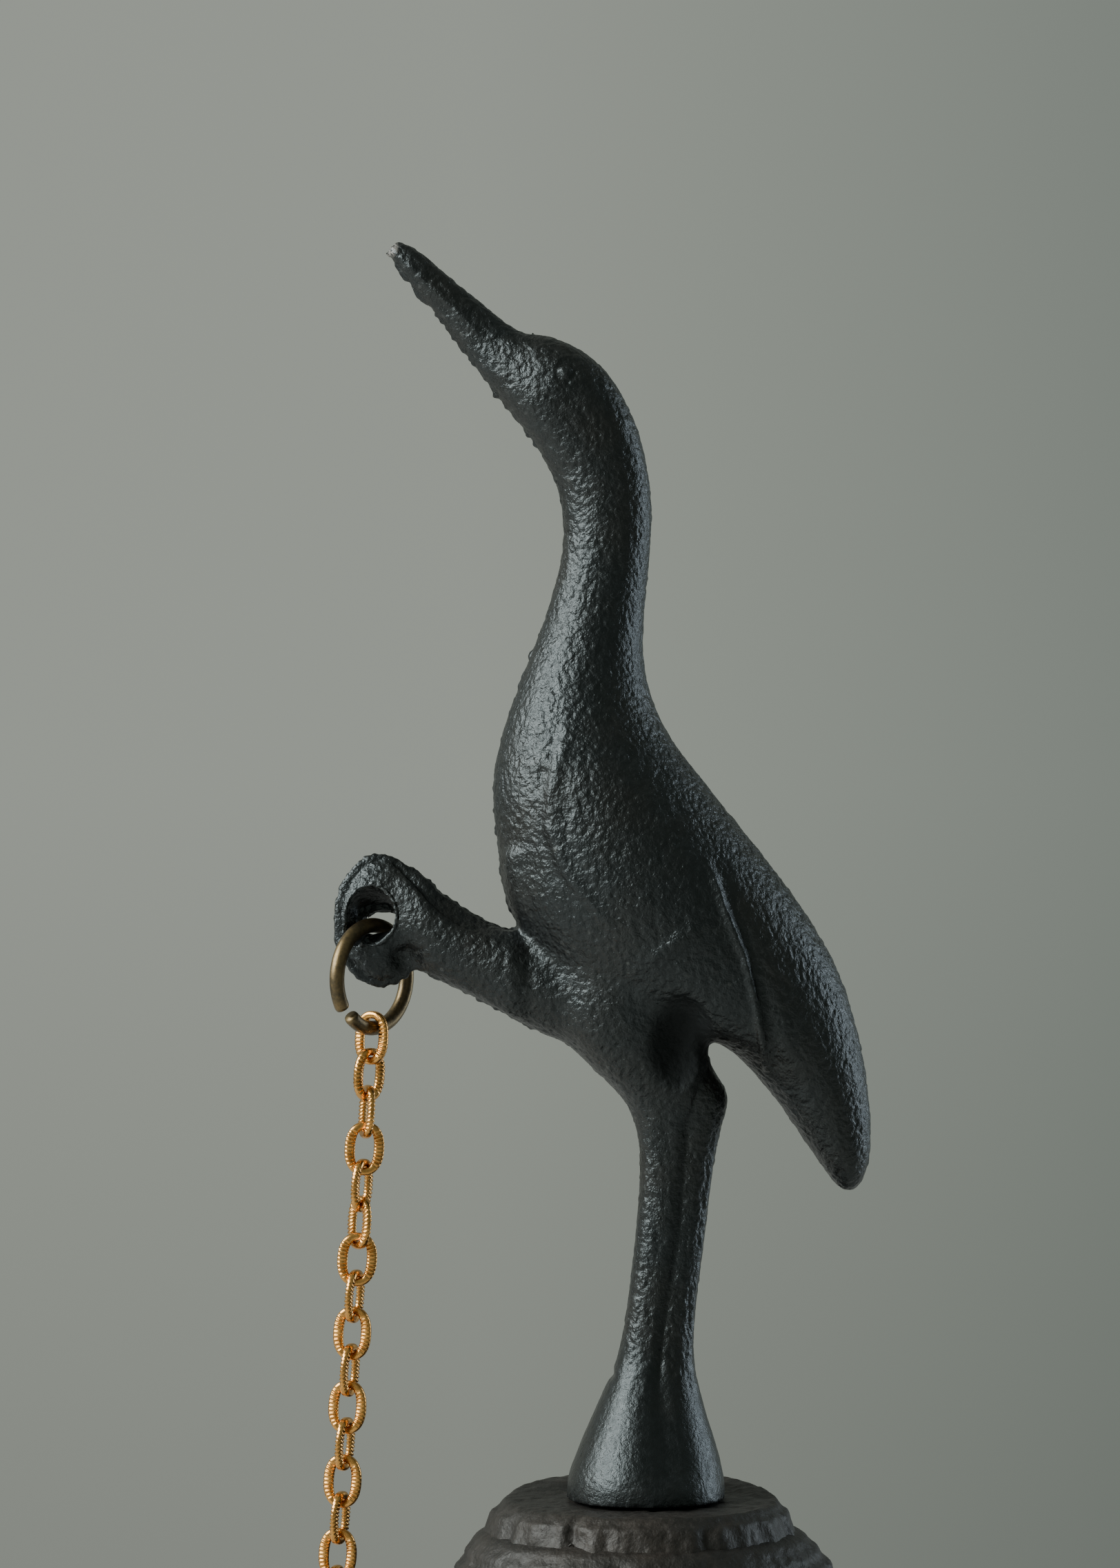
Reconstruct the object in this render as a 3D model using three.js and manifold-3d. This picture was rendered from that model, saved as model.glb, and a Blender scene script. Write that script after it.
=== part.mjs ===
// A wall bell of cast iron. A wall bracket ends in a round boss; the bell hangs under the boss and a
// standing crane is bolted on top of it, all on one stud. The crane's raised foot is an eye, and from the
// eye an open ring, a chain of oval links and a hand striker hang down past the bell's lip.
//
// Millimetres, +Z up. The exported frame has its origin at the centre of the wall plate's back face and +Y
// points into the wall. The bell itself is modelled in the bell frame: origin on the bell's axis at the
// boss's top face, the crane looks along -X, and the wall is on the +Y side.
import * as THREE from "three";
import { mergeVertices } from "three/addons/utils/BufferGeometryUtils.js";
import Module from "manifold-3d";

const wasm = await Module();
wasm.setup();

// ---------------------------------------------------------------- driving dimensions
const GAP = 0.3; // clearance kept between pieces that touch

const CRANE_HEIGHT = 168.9; // boss to the tip of the beak
const EYE_HALF_WIDTH = 2.9; // the eye through the raised foot, at its waist
const EYE_ROOF = 2.2; // its roof above its middle
const EYE_FLOOR = 2.6; // its floor below its middle
const EYE_FLARE = 0.5; // how much further each side opens at the faces
const EYE_DROOP = 1.9; // how much lower the floor is at the faces
const EYE_TILT = 2.2; // how much the roof rises to the front and falls to the back

const BOSS_R = 20.4; // top of the bracket's boss
const BOSS_FLARE = 0.9; // how much wider the boss is at its underside
const BOSS_T = 3.3;

const CROWN_R = 21.3; // flat top of the bell
const SHOULDER_R = 28;
const SHOULDER_DROP = 20; // crown to the end of the rounded shoulder
const LIP_R = 42.3;
const BELL_HEIGHT = 71.5; // crown to lip
const BELL_WALL = 3.2;
const LIP_WALL = 5; // thickness at the sound bow
const CROWN_T = 5.5;
const FLARE_POWER = 2; // how late the waist opens out into the lip
const BEAD = 0.7; // height of the raised lines round the bell
const BEAD_DEPTHS = [25, 28.5, 59]; // below the crown

const STUD_R = 3;
const STUD_IN_CRANE = 15;
const STUD_BELOW_CROWN = 20;
const PIN_R = 1.5;
const PIN_X = 7.2; // locating pin's distance from the axis
const PIN_IN_CRANE = 5;
const LEATHER_R = 14;
const LEATHER_T = 1.2;
const WASHER_R = 9;
const WASHER_T = 1.5;
const NUT_ACROSS = 10; // across the flats
const NUT_T = 5;
const LOCK_NUT_T = 3;

const PLATE_T = 6;
const LIP_TO_PLATE = 11.7;
const PROJECTION = LIP_R + LIP_TO_PLATE + PLATE_T; // wall to the bell's axis
const PLATE_WIDTH = 44;
const PLATE_HEIGHT = 96;
const PLATE_TOP_DROP = 10; // boss top to the top of the plate
const SCREW_R = 2.75; // clearance holes for 5 mm wood screws
const SCREW_HEAD_R = 5.5;
const UPPER_SCREWS_X = 14;
const UPPER_SCREWS_DROP = 20; // below the top of the plate
const LOWER_SCREW_RISE = 12; // above the bottom of the plate
const ARM_WIDTH = 16;
const ARM_T = 3.2;
const WEB_T = 8;
const WEB_CLEAR = 4.2; // between the bracket's web and the bell
const WEB_HOLES = [
  { back: 9.7, drop: 27, r: 5.6 }, // distance in front of the plate, below the boss top
  { back: 7, drop: 44, r: 3.8 },
];

const RING_R = 6.9; // to the middle of the wire
const RING_WIRE_R = 1;
const RING_YAW = 50; // degrees that the ring's plane is turned from the crane's
const RING_REST = 0.3; // the ring's wire above the eye's floor, at the eye's middle
const RING_EASE = 0.25; // clearance worn into the eye all round the wire's path
const RING_SWINGS = [-5, -1.5, 2]; // degrees between which that path is cleared
const RING_GAP = 12; // degrees of the ring that are open
const RING_GAP_AT = 222;

const CHAIN_BELOW_LIP = 4; // the chain ends at least this far below the lip
const LINK_SPAN = 6.2; // wire middle to wire middle, along the link
const LINK_WIDTH = 5.35; // overall
const LINK_WIRE = 1.05; // thickness at the bends
const LINK_SIDE = 1.4; // the same at the flattened sides
const LINK_FLAT = 1.1; // across the link's plane
const LINK_GAP = 0.18;
const LINK_OVAL = 2.4; // 2 is an ellipse, more is squarer
const LINK_CLEAR = 3; // lip to the chain's middle
// How far each link is turned about the chain. The first ones are still untwisting from the ring.
const FIRST_TURNS = [-35, 45, -72, 8, 66, -58, 5];
const TURNS = [70, -18];

const EYE_OUTER = 4.2; // striker's eye, to the outside
const EYE_WIRE = 1.7;
const ROD_R = 2.2;
const GRIP_LENGTH = 44;
const GRIP_R = 5.6;
const FERRULE_LENGTH = 4;
const FERRULE_WALL = 0.8;
const BALL_R = 8.5;
const COLLAR_T = 3;
const STRIKER_NECK = 7; // bare rod between the grip and the ball

// ---------------------------------------------------------------- materials
const material = (color, roughness, metalness) =>
  new THREE.MeshStandardMaterial({ color, roughness, metalness });
const BLACK_IRON = material(0x24272b, 0.42, 0.55);
const BROWN_IRON = material(0x2d2925, 0.55, 0.5);
const STEEL = material(0x77797c, 0.4, 0.9);
const LEATHER = material(0x5a3b26, 0.8, 0);
const AGED_BRASS = material(0x6b5634, 0.45, 0.9);
const GOLD_BRASS = material(0xb07c3a, 0.3, 1);
const DARK_WOOD = material(0x3c2415, 0.5, 0);

// ---------------------------------------------------------------- solids and sweeps
const rad = THREE.MathUtils.degToRad;

// A closed geometry as a manifold-3d solid, placed by an optional matrix.
function solid(geometry, matrix = new THREE.Matrix4()) {
  const bare = geometry.clone();
  for (const name of Object.keys(bare.attributes)) {
    if (name !== "position") bare.deleteAttribute(name);
  }
  bare.applyMatrix4(matrix);
  const merged = mergeVertices(bare, 1e-4);
  return new wasm.Manifold(
    new wasm.Mesh({
      numProp: 3,
      vertProperties: merged.attributes.position.array,
      triVerts: new Uint32Array(merged.index.array),
    }),
  );
}

function geometryOf(made) {
  const mesh = made.getMesh();
  const geometry = new THREE.BufferGeometry();
  geometry.setAttribute("position", new THREE.BufferAttribute(mesh.vertProperties, 3));
  geometry.setIndex(new THREE.BufferAttribute(mesh.triVerts, 1));
  return geometry;
}

// Rings of points, all with the same number of points, skinned into one closed geometry. A closed sweep
// joins its last ring to its first; an open one has flat ends.
function skin(rings, closed = false) {
  const around = rings[0].length;
  const points = rings.flat();
  const index = [];
  const joins = closed ? rings.length : rings.length - 1;
  for (let i = 0; i < joins; i++) {
    const here = i * around;
    const next = ((i + 1) % rings.length) * around;
    for (let j = 0; j < around; j++) {
      const k = (j + 1) % around;
      index.push(here + j, next + j, next + k, here + j, next + k, here + k);
    }
  }
  if (!closed) {
    const last = (rings.length - 1) * around;
    for (let j = 1; j < around - 1; j++) {
      index.push(0, j, j + 1, last, last + j + 1, last + j);
    }
  }
  let volume = 0;
  for (let i = 0; i < index.length; i += 3) {
    const [a, b, c] = [points[index[i]], points[index[i + 1]], points[index[i + 2]]];
    volume += a.dot(b.clone().cross(c));
  }
  if (volume < 0) index.reverse();
  const geometry = new THREE.BufferGeometry().setFromPoints(points);
  geometry.setIndex(index);
  return geometry;
}

// A body whose side view lies between two curves, drawn as ribs across it. A rib is
// [front x, front z, back x, back z, half thickness]; between ribs everything runs in smooth curves.
function ribbed(ribs, stepsPerRib, around, power = 2) {
  const curve = (x, z) =>
    new THREE.CatmullRomCurve3(ribs.map((r) => new THREE.Vector3(r[x], r[4], r[z])));
  const front = curve(0, 1);
  const back = curve(2, 3);
  const steps = (ribs.length - 1) * stepsPerRib;
  const squash = (v) => Math.sign(v) * Math.abs(v) ** (2 / power);
  const rings = [];
  for (let i = 0; i <= steps; i++) {
    const f = front.getPoint(i / steps);
    const b = back.getPoint(i / steps);
    const ring = [];
    for (let j = 0; j < around; j++) {
      const angle = (2 * Math.PI * (j + 0.5)) / around;
      const across = (1 + squash(Math.cos(angle))) / 2;
      const p = f.clone().lerp(b, across);
      p.y = f.y * squash(Math.sin(angle));
      ring.push(p);
    }
    rings.push(ring);
  }
  return skin(rings);
}

const lathe = (profile, segments) =>
  new THREE.LatheGeometry(
    profile.map(([r, h]) => new THREE.Vector2(r, h)),
    segments,
  );

// LatheGeometry turns about Y; these matrices lay that axis along Z, or keep it along Y, and move it.
const alongZ = (x = 0, y = 0, z = 0) =>
  new THREE.Matrix4().makeTranslation(x, y, z).multiply(new THREE.Matrix4().makeRotationX(Math.PI / 2));
const alongY = (x = 0, y = 0, z = 0) => new THREE.Matrix4().makeTranslation(x, y, z);

// A disc, ring or rod about Z. A bore of 0 makes it solid.
function turned(profile, segments = 32) {
  return solid(lathe(profile, segments), alongZ());
}
const rod = (r, z0, z1, segments = 20) =>
  turned([[0, z0], [r, z0], [r, z1], [0, z1]], segments);
const tube = (r, bore, z0, z1, segments = 32) =>
  turned([[bore, z0], [r, z0], [r, z1], [bore, z1], [bore, z0]], segments);

function named(name, geometry, finish) {
  const mesh = new THREE.Mesh(geometry, finish);
  mesh.name = name;
  return mesh;
}

// ---------------------------------------------------------------- crane
// Ribs of a crane 168.9 mm tall, from the beak's tip over the head, neck and back to the tail's tip.
const RIB_HEIGHT = 168.9;
const TRUNK = [
  [-34.5, 166.9, -33.3, 168.9, 0.9],
  [-33.1, 165.1, -30.6, 167.7, 1.8],
  [-30.5, 161.7, -26.8, 164.6, 2.4],
  [-26.8, 157.4, -22.9, 161.4, 2.9],
  [-23.6, 153.2, -19.1, 158.2, 3.6],
  [-21.0, 149.6, -16.3, 156.4, 4.6],
  [-18.1, 145.9, -12.4, 155.7, 5.6],
  [-16.2, 143.5, -8.7, 154.1, 6.1],
  [-14.7, 141.5, -5.0, 151.1, 6.2],
  [-13.2, 139.0, -1.8, 145.8, 6.0],
  [-11.9, 136.3, 0.2, 139.9, 5.8],
  [-10.8, 131.5, 1.1, 132.5, 5.8],
  [-11.2, 125.4, 0.8, 125.5, 6.1],
  [-13.4, 117.6, 0.1, 118.0, 6.8],
  [-16.4, 109.7, 0.3, 110.6, 8.2],
  [-19.0, 102.2, 2.8, 103.4, 10.4],
  [-20.2, 95.0, 8.8, 95.2, 12.6],
  [-19.6, 87.5, 15.2, 87.2, 14.0],
  [-18.2, 79.5, 21.3, 79.1, 14.2],
  [-12.5, 71.5, 26.0, 70.9, 12.8],
  [-1.0, 65.0, 28.8, 62.4, 10.4],
  [11.0, 60.4, 30.2, 54.2, 7.8],
  [17.2, 54.0, 30.6, 48.2, 6.0],
  [21.9, 47.4, 30.2, 44.6, 4.6],
  [25.0, 42.9, 29.2, 42.2, 2.8],
  [26.4, 41.3, 28.2, 41.0, 1.2],
];
const RAISED_LEG = [
  [-4.0, 76.0, -2.0, 60.0, 6.0],
  [-14.0, 75.6, -11.6, 61.2, 6.2],
  [-18.6, 76.3, -16.6, 63.6, 5.4],
  [-22.8, 78.3, -21.6, 66.4, 4.8],
  [-26.6, 80.8, -25.8, 68.5, 4.5],
  [-29.8, 83.6, -29.6, 70.4, 4.3],
  [-33.4, 85.9, -33.2, 71.4, 3.3],
];
const STANDING_LEG = [
  [-12.0, 74.0, 8.0, 74.0, 9.5],
  [-12.6, 64.5, 8.2, 64.5, 9.0],
  [-7.6, 58.2, 9.0, 58.2, 7.6],
  [-2.9, 53.6, 11.3, 53.9, 6.0],
  [-0.9, 49.2, 10.2, 48.6, 5.0],
  [-0.5, 43.0, 9.2, 43.0, 4.6],
  [-1.2, 34.0, 8.1, 34.0, 4.5],
  [-2.3, 25.0, 7.0, 25.0, 4.6],
  [-3.6, 18.6, 6.8, 18.6, 5.4],
  [-6.2, 12.4, 8.1, 12.4, 7.6],
  [-8.6, 6.9, 9.8, 6.9, 9.9],
  [-10.1, 2.6, 10.8, 2.6, 11.4],
  [-10.3, 1.0, 10.9, 1.0, 11.6],
  [-9.5, 0.0, 10.1, 0.0, 10.8],
];
const CLAW = { x: -35.3, z: 77.3, wide: 6.4, thick: 3.5, tall: 9.1 };
// The eye's middle, how far it shifts sideways at each face, and where along it the ring hangs.
const EYE = { x: -35.7, z: 78.1, lean: 1.3, ringX: -36.4 };
const THIGH_HOLLOW = { x: 6.6, y: 10.5, z: 62.6, r: 5.0 };

const craneScale = CRANE_HEIGHT / RIB_HEIGHT;

function crane() {
  const sized = new THREE.Matrix4()
    .makeTranslation(0, 0, GAP)
    .multiply(new THREE.Matrix4().makeScale(craneScale, craneScale, craneScale));
  const claw = new THREE.Matrix4()
    .makeTranslation(CLAW.x, 0, CLAW.z)
    .multiply(new THREE.Matrix4().makeScale(CLAW.wide, CLAW.thick, CLAW.tall));
  let body = solid(ribbed(TRUNK, 2, 18))
    .add(solid(ribbed(RAISED_LEG, 2, 14)))
    .add(solid(ribbed(STANDING_LEG, 2, 18, 2.2)))
    .add(solid(new THREE.SphereGeometry(1, 20, 14), claw));
  for (const side of [-1, 1]) {
    const hollow = new THREE.SphereGeometry(THIGH_HOLLOW.r, 14, 10);
    body = body.subtract(solid(hollow, alongY(THIGH_HOLLOW.x, side * THIGH_HOLLOW.y, THIGH_HOLLOW.z)));
  }
  let made = solid(geometryOf(body), sized).subtract(eyeCutter());
  for (const swing of RING_SWINGS) made = made.subtract(ringPath(swing));
  const pinHole = rod(PIN_R + GAP, -1, PIN_IN_CRANE + 1, 12).translate(PIN_X, 0, 0);
  return made.subtract(rod(STUD_R + GAP, -1, STUD_IN_CRANE + 1)).subtract(pinHole);
}

// The eye opens out towards both faces and slopes down to the back, and its floor is rounded for the ring.
const eyeCentre = new THREE.Vector3(EYE.x * craneScale, 0, EYE.z * craneScale + GAP);
function eyeCutter() {
  const half = CLAW.thick * craneScale + 1;
  const rings = [-1, -0.75, -0.5, -0.25, 0, 0.25, 0.5, 0.75, 1].map((share) => {
    const roof = EYE_ROOF - EYE_TILT * share;
    const floor = -EYE_FLOOR - EYE_DROOP * Math.abs(share) ** 1.6;
    const wide = EYE_HALF_WIDTH + EYE_FLARE * Math.abs(share);
    return Array.from({ length: 18 }, (_, j) => {
      const angle = (2 * Math.PI * j) / 18;
      return new THREE.Vector3(
        eyeCentre.x + EYE.lean * share + wide * Math.cos(angle),
        half * share,
        eyeCentre.z + (roof + floor) / 2 + ((roof - floor) / 2) * Math.sin(angle),
      );
    });
  });
  return solid(skin(rings));
}

// The room that the ring's wire needs in the eye when the ring has swung that many degrees.
const ringTop = new THREE.Vector3(EYE.ringX * craneScale, 0, eyeCentre.z - EYE_FLOOR + RING_WIRE_R + RING_REST);
function ringPath(swing) {
  const place = new THREE.Matrix4()
    .makeTranslation(ringTop.x, ringTop.y, ringTop.z)
    .multiply(new THREE.Matrix4().makeRotationX(rad(swing)))
    .multiply(new THREE.Matrix4().makeTranslation(0, 0, -RING_R))
    .multiply(new THREE.Matrix4().makeRotationZ(rad(RING_YAW)))
    .multiply(new THREE.Matrix4().makeRotationX(Math.PI / 2));
  return solid(new THREE.TorusGeometry(RING_R, RING_WIRE_R + RING_EASE, 10, 36), place);
}

// ---------------------------------------------------------------- bell
const crownZ = -BOSS_T - GAP;
const lipZ = crownZ - BELL_HEIGHT;

// Outside radius of the bell at a depth below its crown: a rounded shoulder, then an opening waist.
function bellRadius(depth) {
  if (depth < SHOULDER_DROP) {
    const up = 1 - depth / SHOULDER_DROP;
    return CROWN_R + (SHOULDER_R - CROWN_R) * Math.sqrt(1 - up * up);
  }
  const along = (depth - SHOULDER_DROP) / (BELL_HEIGHT - SHOULDER_DROP);
  return SHOULDER_R + (LIP_R - SHOULDER_R) * along ** FLARE_POWER;
}

function bell() {
  const outside = [];
  const shoulderSteps = 6;
  for (let i = 0; i <= shoulderSteps; i++) {
    const angle = (i / shoulderSteps) * (Math.PI / 2);
    const depth = SHOULDER_DROP * (1 - Math.cos(angle));
    outside.push([bellRadius(depth), crownZ - depth]);
  }
  const beadHalf = 1.3;
  const stops = BEAD_DEPTHS.flatMap((d) => [[d - beadHalf, 0], [d, BEAD], [d + beadHalf, 0]]);
  stops.push([(BEAD_DEPTHS[1] + BEAD_DEPTHS[2]) / 2, 0], [BELL_HEIGHT - 5, 0], [BELL_HEIGHT - 1.5, 0]);
  stops.sort((a, b) => a[0] - b[0]);
  for (const [depth, proud] of stops) outside.push([bellRadius(depth) + proud, crownZ - depth]);
  outside.push([LIP_R - 0.6, lipZ]);
  const inside = [];
  const innerSteps = 9;
  const innerTop = CROWN_T + 1.5;
  for (let i = 0; i <= innerSteps; i++) {
    const depth = BELL_HEIGHT - (BELL_HEIGHT - innerTop) * (i / innerSteps);
    const wall = BELL_WALL + (LIP_WALL - BELL_WALL) * (depth / BELL_HEIGHT) ** 6;
    const ease = i === 0 ? 0.4 : 0;
    inside.push([bellRadius(depth) - wall + ease, crownZ - depth]);
  }
  inside.push([CROWN_R - BELL_WALL - 1, crownZ - CROWN_T]);
  const bore = STUD_R + 1;
  const seat = LEATHER_R + GAP;
  const seatZ = crownZ - LEATHER_T;
  const profile = [...outside, ...inside];
  profile.push([bore, crownZ - CROWN_T], [bore, seatZ], [seat, seatZ], [seat, crownZ], [CROWN_R, crownZ]);
  return turned(profile.reverse(), 40);
}

// ---------------------------------------------------------------- wall bracket
const plateFront = PROJECTION - PLATE_T;
const plateTop = -PLATE_TOP_DROP;
const plateBottom = plateTop - PLATE_HEIGHT;

// A side view drawn in the wall's direction and up, extruded across by its width.
function sideExtrusion(shape, width) {
  const geometry = new THREE.ExtrudeGeometry(shape, { depth: width, bevelEnabled: false, curveSegments: 10 });
  const place = new THREE.Matrix4()
    .makeBasis(new THREE.Vector3(0, 1, 0), new THREE.Vector3(0, 0, 1), new THREE.Vector3(1, 0, 0))
    .setPosition(-width / 2, 0, 0);
  return solid(geometry, place);
}

function wallPlate() {
  const half = PLATE_WIDTH / 2;
  const shape = new THREE.Shape();
  shape.moveTo(-half, plateTop - half);
  shape.absarc(0, plateTop - half, half, Math.PI, 0, true);
  shape.lineTo(half, plateBottom + half);
  shape.absarc(0, plateBottom + half, half, 0, -Math.PI, true);
  const bevel = 1.2;
  const geometry = new THREE.ExtrudeGeometry(shape, {
    depth: PLATE_T - bevel,
    bevelThickness: bevel,
    bevelSize: bevel,
    bevelOffset: -bevel,
    bevelSegments: 1,
    curveSegments: 14,
  });
  const place = new THREE.Matrix4()
    .makeBasis(new THREE.Vector3(1, 0, 0), new THREE.Vector3(0, 0, 1), new THREE.Vector3(0, -1, 0))
    .setPosition(0, PROJECTION, 0);
  const back = new THREE.Matrix4().makeTranslation(0, PROJECTION + 50, (plateTop + plateBottom) / 2);
  return solid(geometry, place).subtract(solid(new THREE.BoxGeometry(200, 100, 300), back));
}

function bracket() {
  const boss = turned([
    [0, -BOSS_T],
    [BOSS_R + BOSS_FLARE, -BOSS_T],
    [BOSS_R + 0.25, -1.1],
    [BOSS_R - 0.9, -0.2],
    [BOSS_R - 2, 0],
    [0, 0],
  ], 40);
  const armEnd = plateTop - 8;
  const arm = new THREE.Shape();
  arm.moveTo(8, -0.4);
  arm.quadraticCurveTo(40, -0.4, plateFront + 1, armEnd);
  arm.lineTo(plateFront + 1, armEnd - ARM_T * 1.3);
  arm.quadraticCurveTo(36, -ARM_T, CROWN_R + 1.5, -ARM_T);
  arm.lineTo(8, -ARM_T);
  const web = new THREE.Shape();
  const top = 4.5;
  const lowest = BELL_HEIGHT * 0.72;
  web.moveTo(bellRadius(top) + WEB_CLEAR - 2, crownZ + 1);
  const steps = 9;
  for (let i = 0; i <= steps; i++) {
    const depth = top + ((lowest - top) * i) / steps;
    web.lineTo(bellRadius(depth) + WEB_CLEAR, crownZ - depth);
  }
  web.quadraticCurveTo(bellRadius(lowest) + WEB_CLEAR + 3, crownZ - lowest - 10, plateFront + 1, crownZ - lowest - 14);
  web.lineTo(plateFront + 1, armEnd - 1);
  web.quadraticCurveTo(38, -2.4, bellRadius(top), -2.4);
  for (const hole of WEB_HOLES) {
    const path = new THREE.Path();
    path.absarc(plateFront - hole.back, -hole.drop, hole.r, 0, 2 * Math.PI);
    web.holes.push(path);
  }
  let made = boss.add(sideExtrusion(arm, ARM_WIDTH)).add(sideExtrusion(web, WEB_T)).add(wallPlate());
  const upper = plateTop - UPPER_SCREWS_DROP;
  const screws = [[-UPPER_SCREWS_X, upper], [UPPER_SCREWS_X, upper], [0, plateBottom + LOWER_SCREW_RISE]];
  for (const [x, z] of screws) {
    const sink = SCREW_HEAD_R - SCREW_R;
    const cutter = lathe([
      [0, plateFront - 1],
      [SCREW_HEAD_R + 1, plateFront - 1],
      [SCREW_R, plateFront + sink],
      [SCREW_R, PROJECTION + 1],
      [0, PROJECTION + 1],
    ], 20);
    made = made.subtract(solid(cutter, alongY(x, 0, z)));
  }
  const pinHole = rod(PIN_R + GAP, -BOSS_T - 1, 1, 12).translate(PIN_X, 0, 0);
  return made.subtract(rod(STUD_R + GAP, -BOSS_T - 1, 1)).subtract(pinHole);
}

// ---------------------------------------------------------------- fasteners on the stud
const crownUnder = crownZ - CROWN_T;
const lowLeatherZ = crownUnder - GAP;
const washerZ = lowLeatherZ - LEATHER_T - GAP;
const nutZ = washerZ - WASHER_T - GAP;
const lockNutZ = nutZ - NUT_T - GAP;

function stud() {
  const low = crownUnder - STUD_BELOW_CROWN;
  const chamfer = 0.6;
  return turned([
    [0, low],
    [STUD_R - chamfer, low],
    [STUD_R, low + chamfer],
    [STUD_R, STUD_IN_CRANE - chamfer],
    [STUD_R - chamfer, STUD_IN_CRANE],
    [0, STUD_IN_CRANE],
  ], 16);
}

// A hexagon nut whose corners are turned off, hung below the height z.
function nut(z, thickness) {
  const corner = NUT_ACROSS / 2 / Math.cos(Math.PI / 6);
  const ease = 0.7;
  const round = turned([
    [0, z - thickness],
    [corner - ease, z - thickness],
    [corner, z - thickness + ease / 2],
    [corner, z - ease / 2],
    [corner - ease, z],
    [0, z],
  ], 24);
  const hexagon = solid(lathe([[0, z - 20], [corner, z - 20], [corner, z + 20], [0, z + 20]], 6), alongZ());
  return round.intersect(hexagon).subtract(rod(STUD_R + GAP, z - thickness - 1, z + 1, 16));
}

function fasteners() {
  const bore = STUD_R + GAP;
  const pieces = [
    named("crane_stud", geometryOf(stud()), STEEL),
    named("locating_pin", geometryOf(rod(PIN_R, -BOSS_T + 0.4, PIN_IN_CRANE, 12)), STEEL),
    named("top_leather_washer",
      geometryOf(tube(LEATHER_R, bore, crownZ - LEATHER_T + GAP, crownZ - 0.02, 24)), LEATHER),
    named("lower_leather_washer",
      geometryOf(tube(LEATHER_R - 2, bore, lowLeatherZ - LEATHER_T, lowLeatherZ, 24)), LEATHER),
    named("steel_washer", geometryOf(tube(WASHER_R, bore, washerZ - WASHER_T, washerZ, 20)), STEEL),
    named("crown_nut", geometryOf(nut(nutZ, NUT_T)), STEEL),
    named("lock_nut", geometryOf(nut(lockNutZ, LOCK_NUT_T)), STEEL),
  ];
  pieces[1].position.x = PIN_X;
  return pieces;
}

// ---------------------------------------------------------------- ring, chain and striker
// The ring hangs in the eye and its wire is open at one place.
function ring() {
  const open = rad(RING_GAP);
  const start = rad(RING_GAP_AT) + open / 2;
  const steps = 30;
  const rings = [];
  for (let i = 0; i <= steps; i++) {
    const angle = start + ((2 * Math.PI - open) * i) / steps;
    const out = new THREE.Vector3(Math.cos(angle), 0, Math.sin(angle));
    rings.push(
      Array.from({ length: 8 }, (_, j) => {
        const turn = (2 * Math.PI * (j + 0.5)) / 8;
        return out
          .clone()
          .multiplyScalar(RING_R + RING_WIRE_R * Math.cos(turn))
          .add(new THREE.Vector3(0, RING_WIRE_R * Math.sin(turn), 0));
      }),
    );
  }
  return skin(rings);
}

// One oval link in its own frame: the upper bend's wire is at the origin and the link hangs down -Z.
function link() {
  const steps = 14;
  const halfWide = (LINK_WIDTH - LINK_SIDE) / 2;
  const flatTop = Math.cos(Math.PI / steps) ** (2 / LINK_OVAL); // the ends are straight facets
  const halfTall = LINK_SPAN / 2 / flatTop;
  const squash = (v) => Math.sign(v) * Math.abs(v) ** (2 / LINK_OVAL);
  const rings = [];
  for (let i = 0; i < steps; i++) {
    const angle = (2 * Math.PI * (i + 0.5)) / steps + Math.PI / 2;
    const middle = new THREE.Vector3(halfWide * squash(Math.cos(angle)), 0, halfTall * squash(Math.sin(angle)));
    const out = new THREE.Vector3(Math.cos(angle) / halfWide, 0, Math.sin(angle) / halfTall).normalize();
    const deep = LINK_WIRE + (LINK_SIDE - LINK_WIRE) * Math.cos(angle) ** 2;
    const section = [[-1, -0.4], [0, -1], [1, -0.4], [1, 0.4], [0, 1], [-1, 0.4]];
    rings.push(
      section.map(([radial, flat]) =>
        middle
          .clone()
          .addScaledVector(out, (radial * deep) / 2)
          .add(new THREE.Vector3(0, (flat * LINK_FLAT) / 2, -LINK_SPAN / 2)),
      ),
    );
  }
  return skin(rings, true);
}

const turnOf = (k) => (k < FIRST_TURNS.length ? FIRST_TURNS[k] : TURNS[(k - FIRST_TURNS.length) % 2]);

// Adds a group whose origin is the hinge that its mesh turns about, and returns it.
function hung(parent, parentHinge, hinge, mesh) {
  const group = new THREE.Group();
  group.position.copy(hinge).sub(parentHinge);
  group.add(mesh);
  parent.add(group);
  return group;
}

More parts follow.
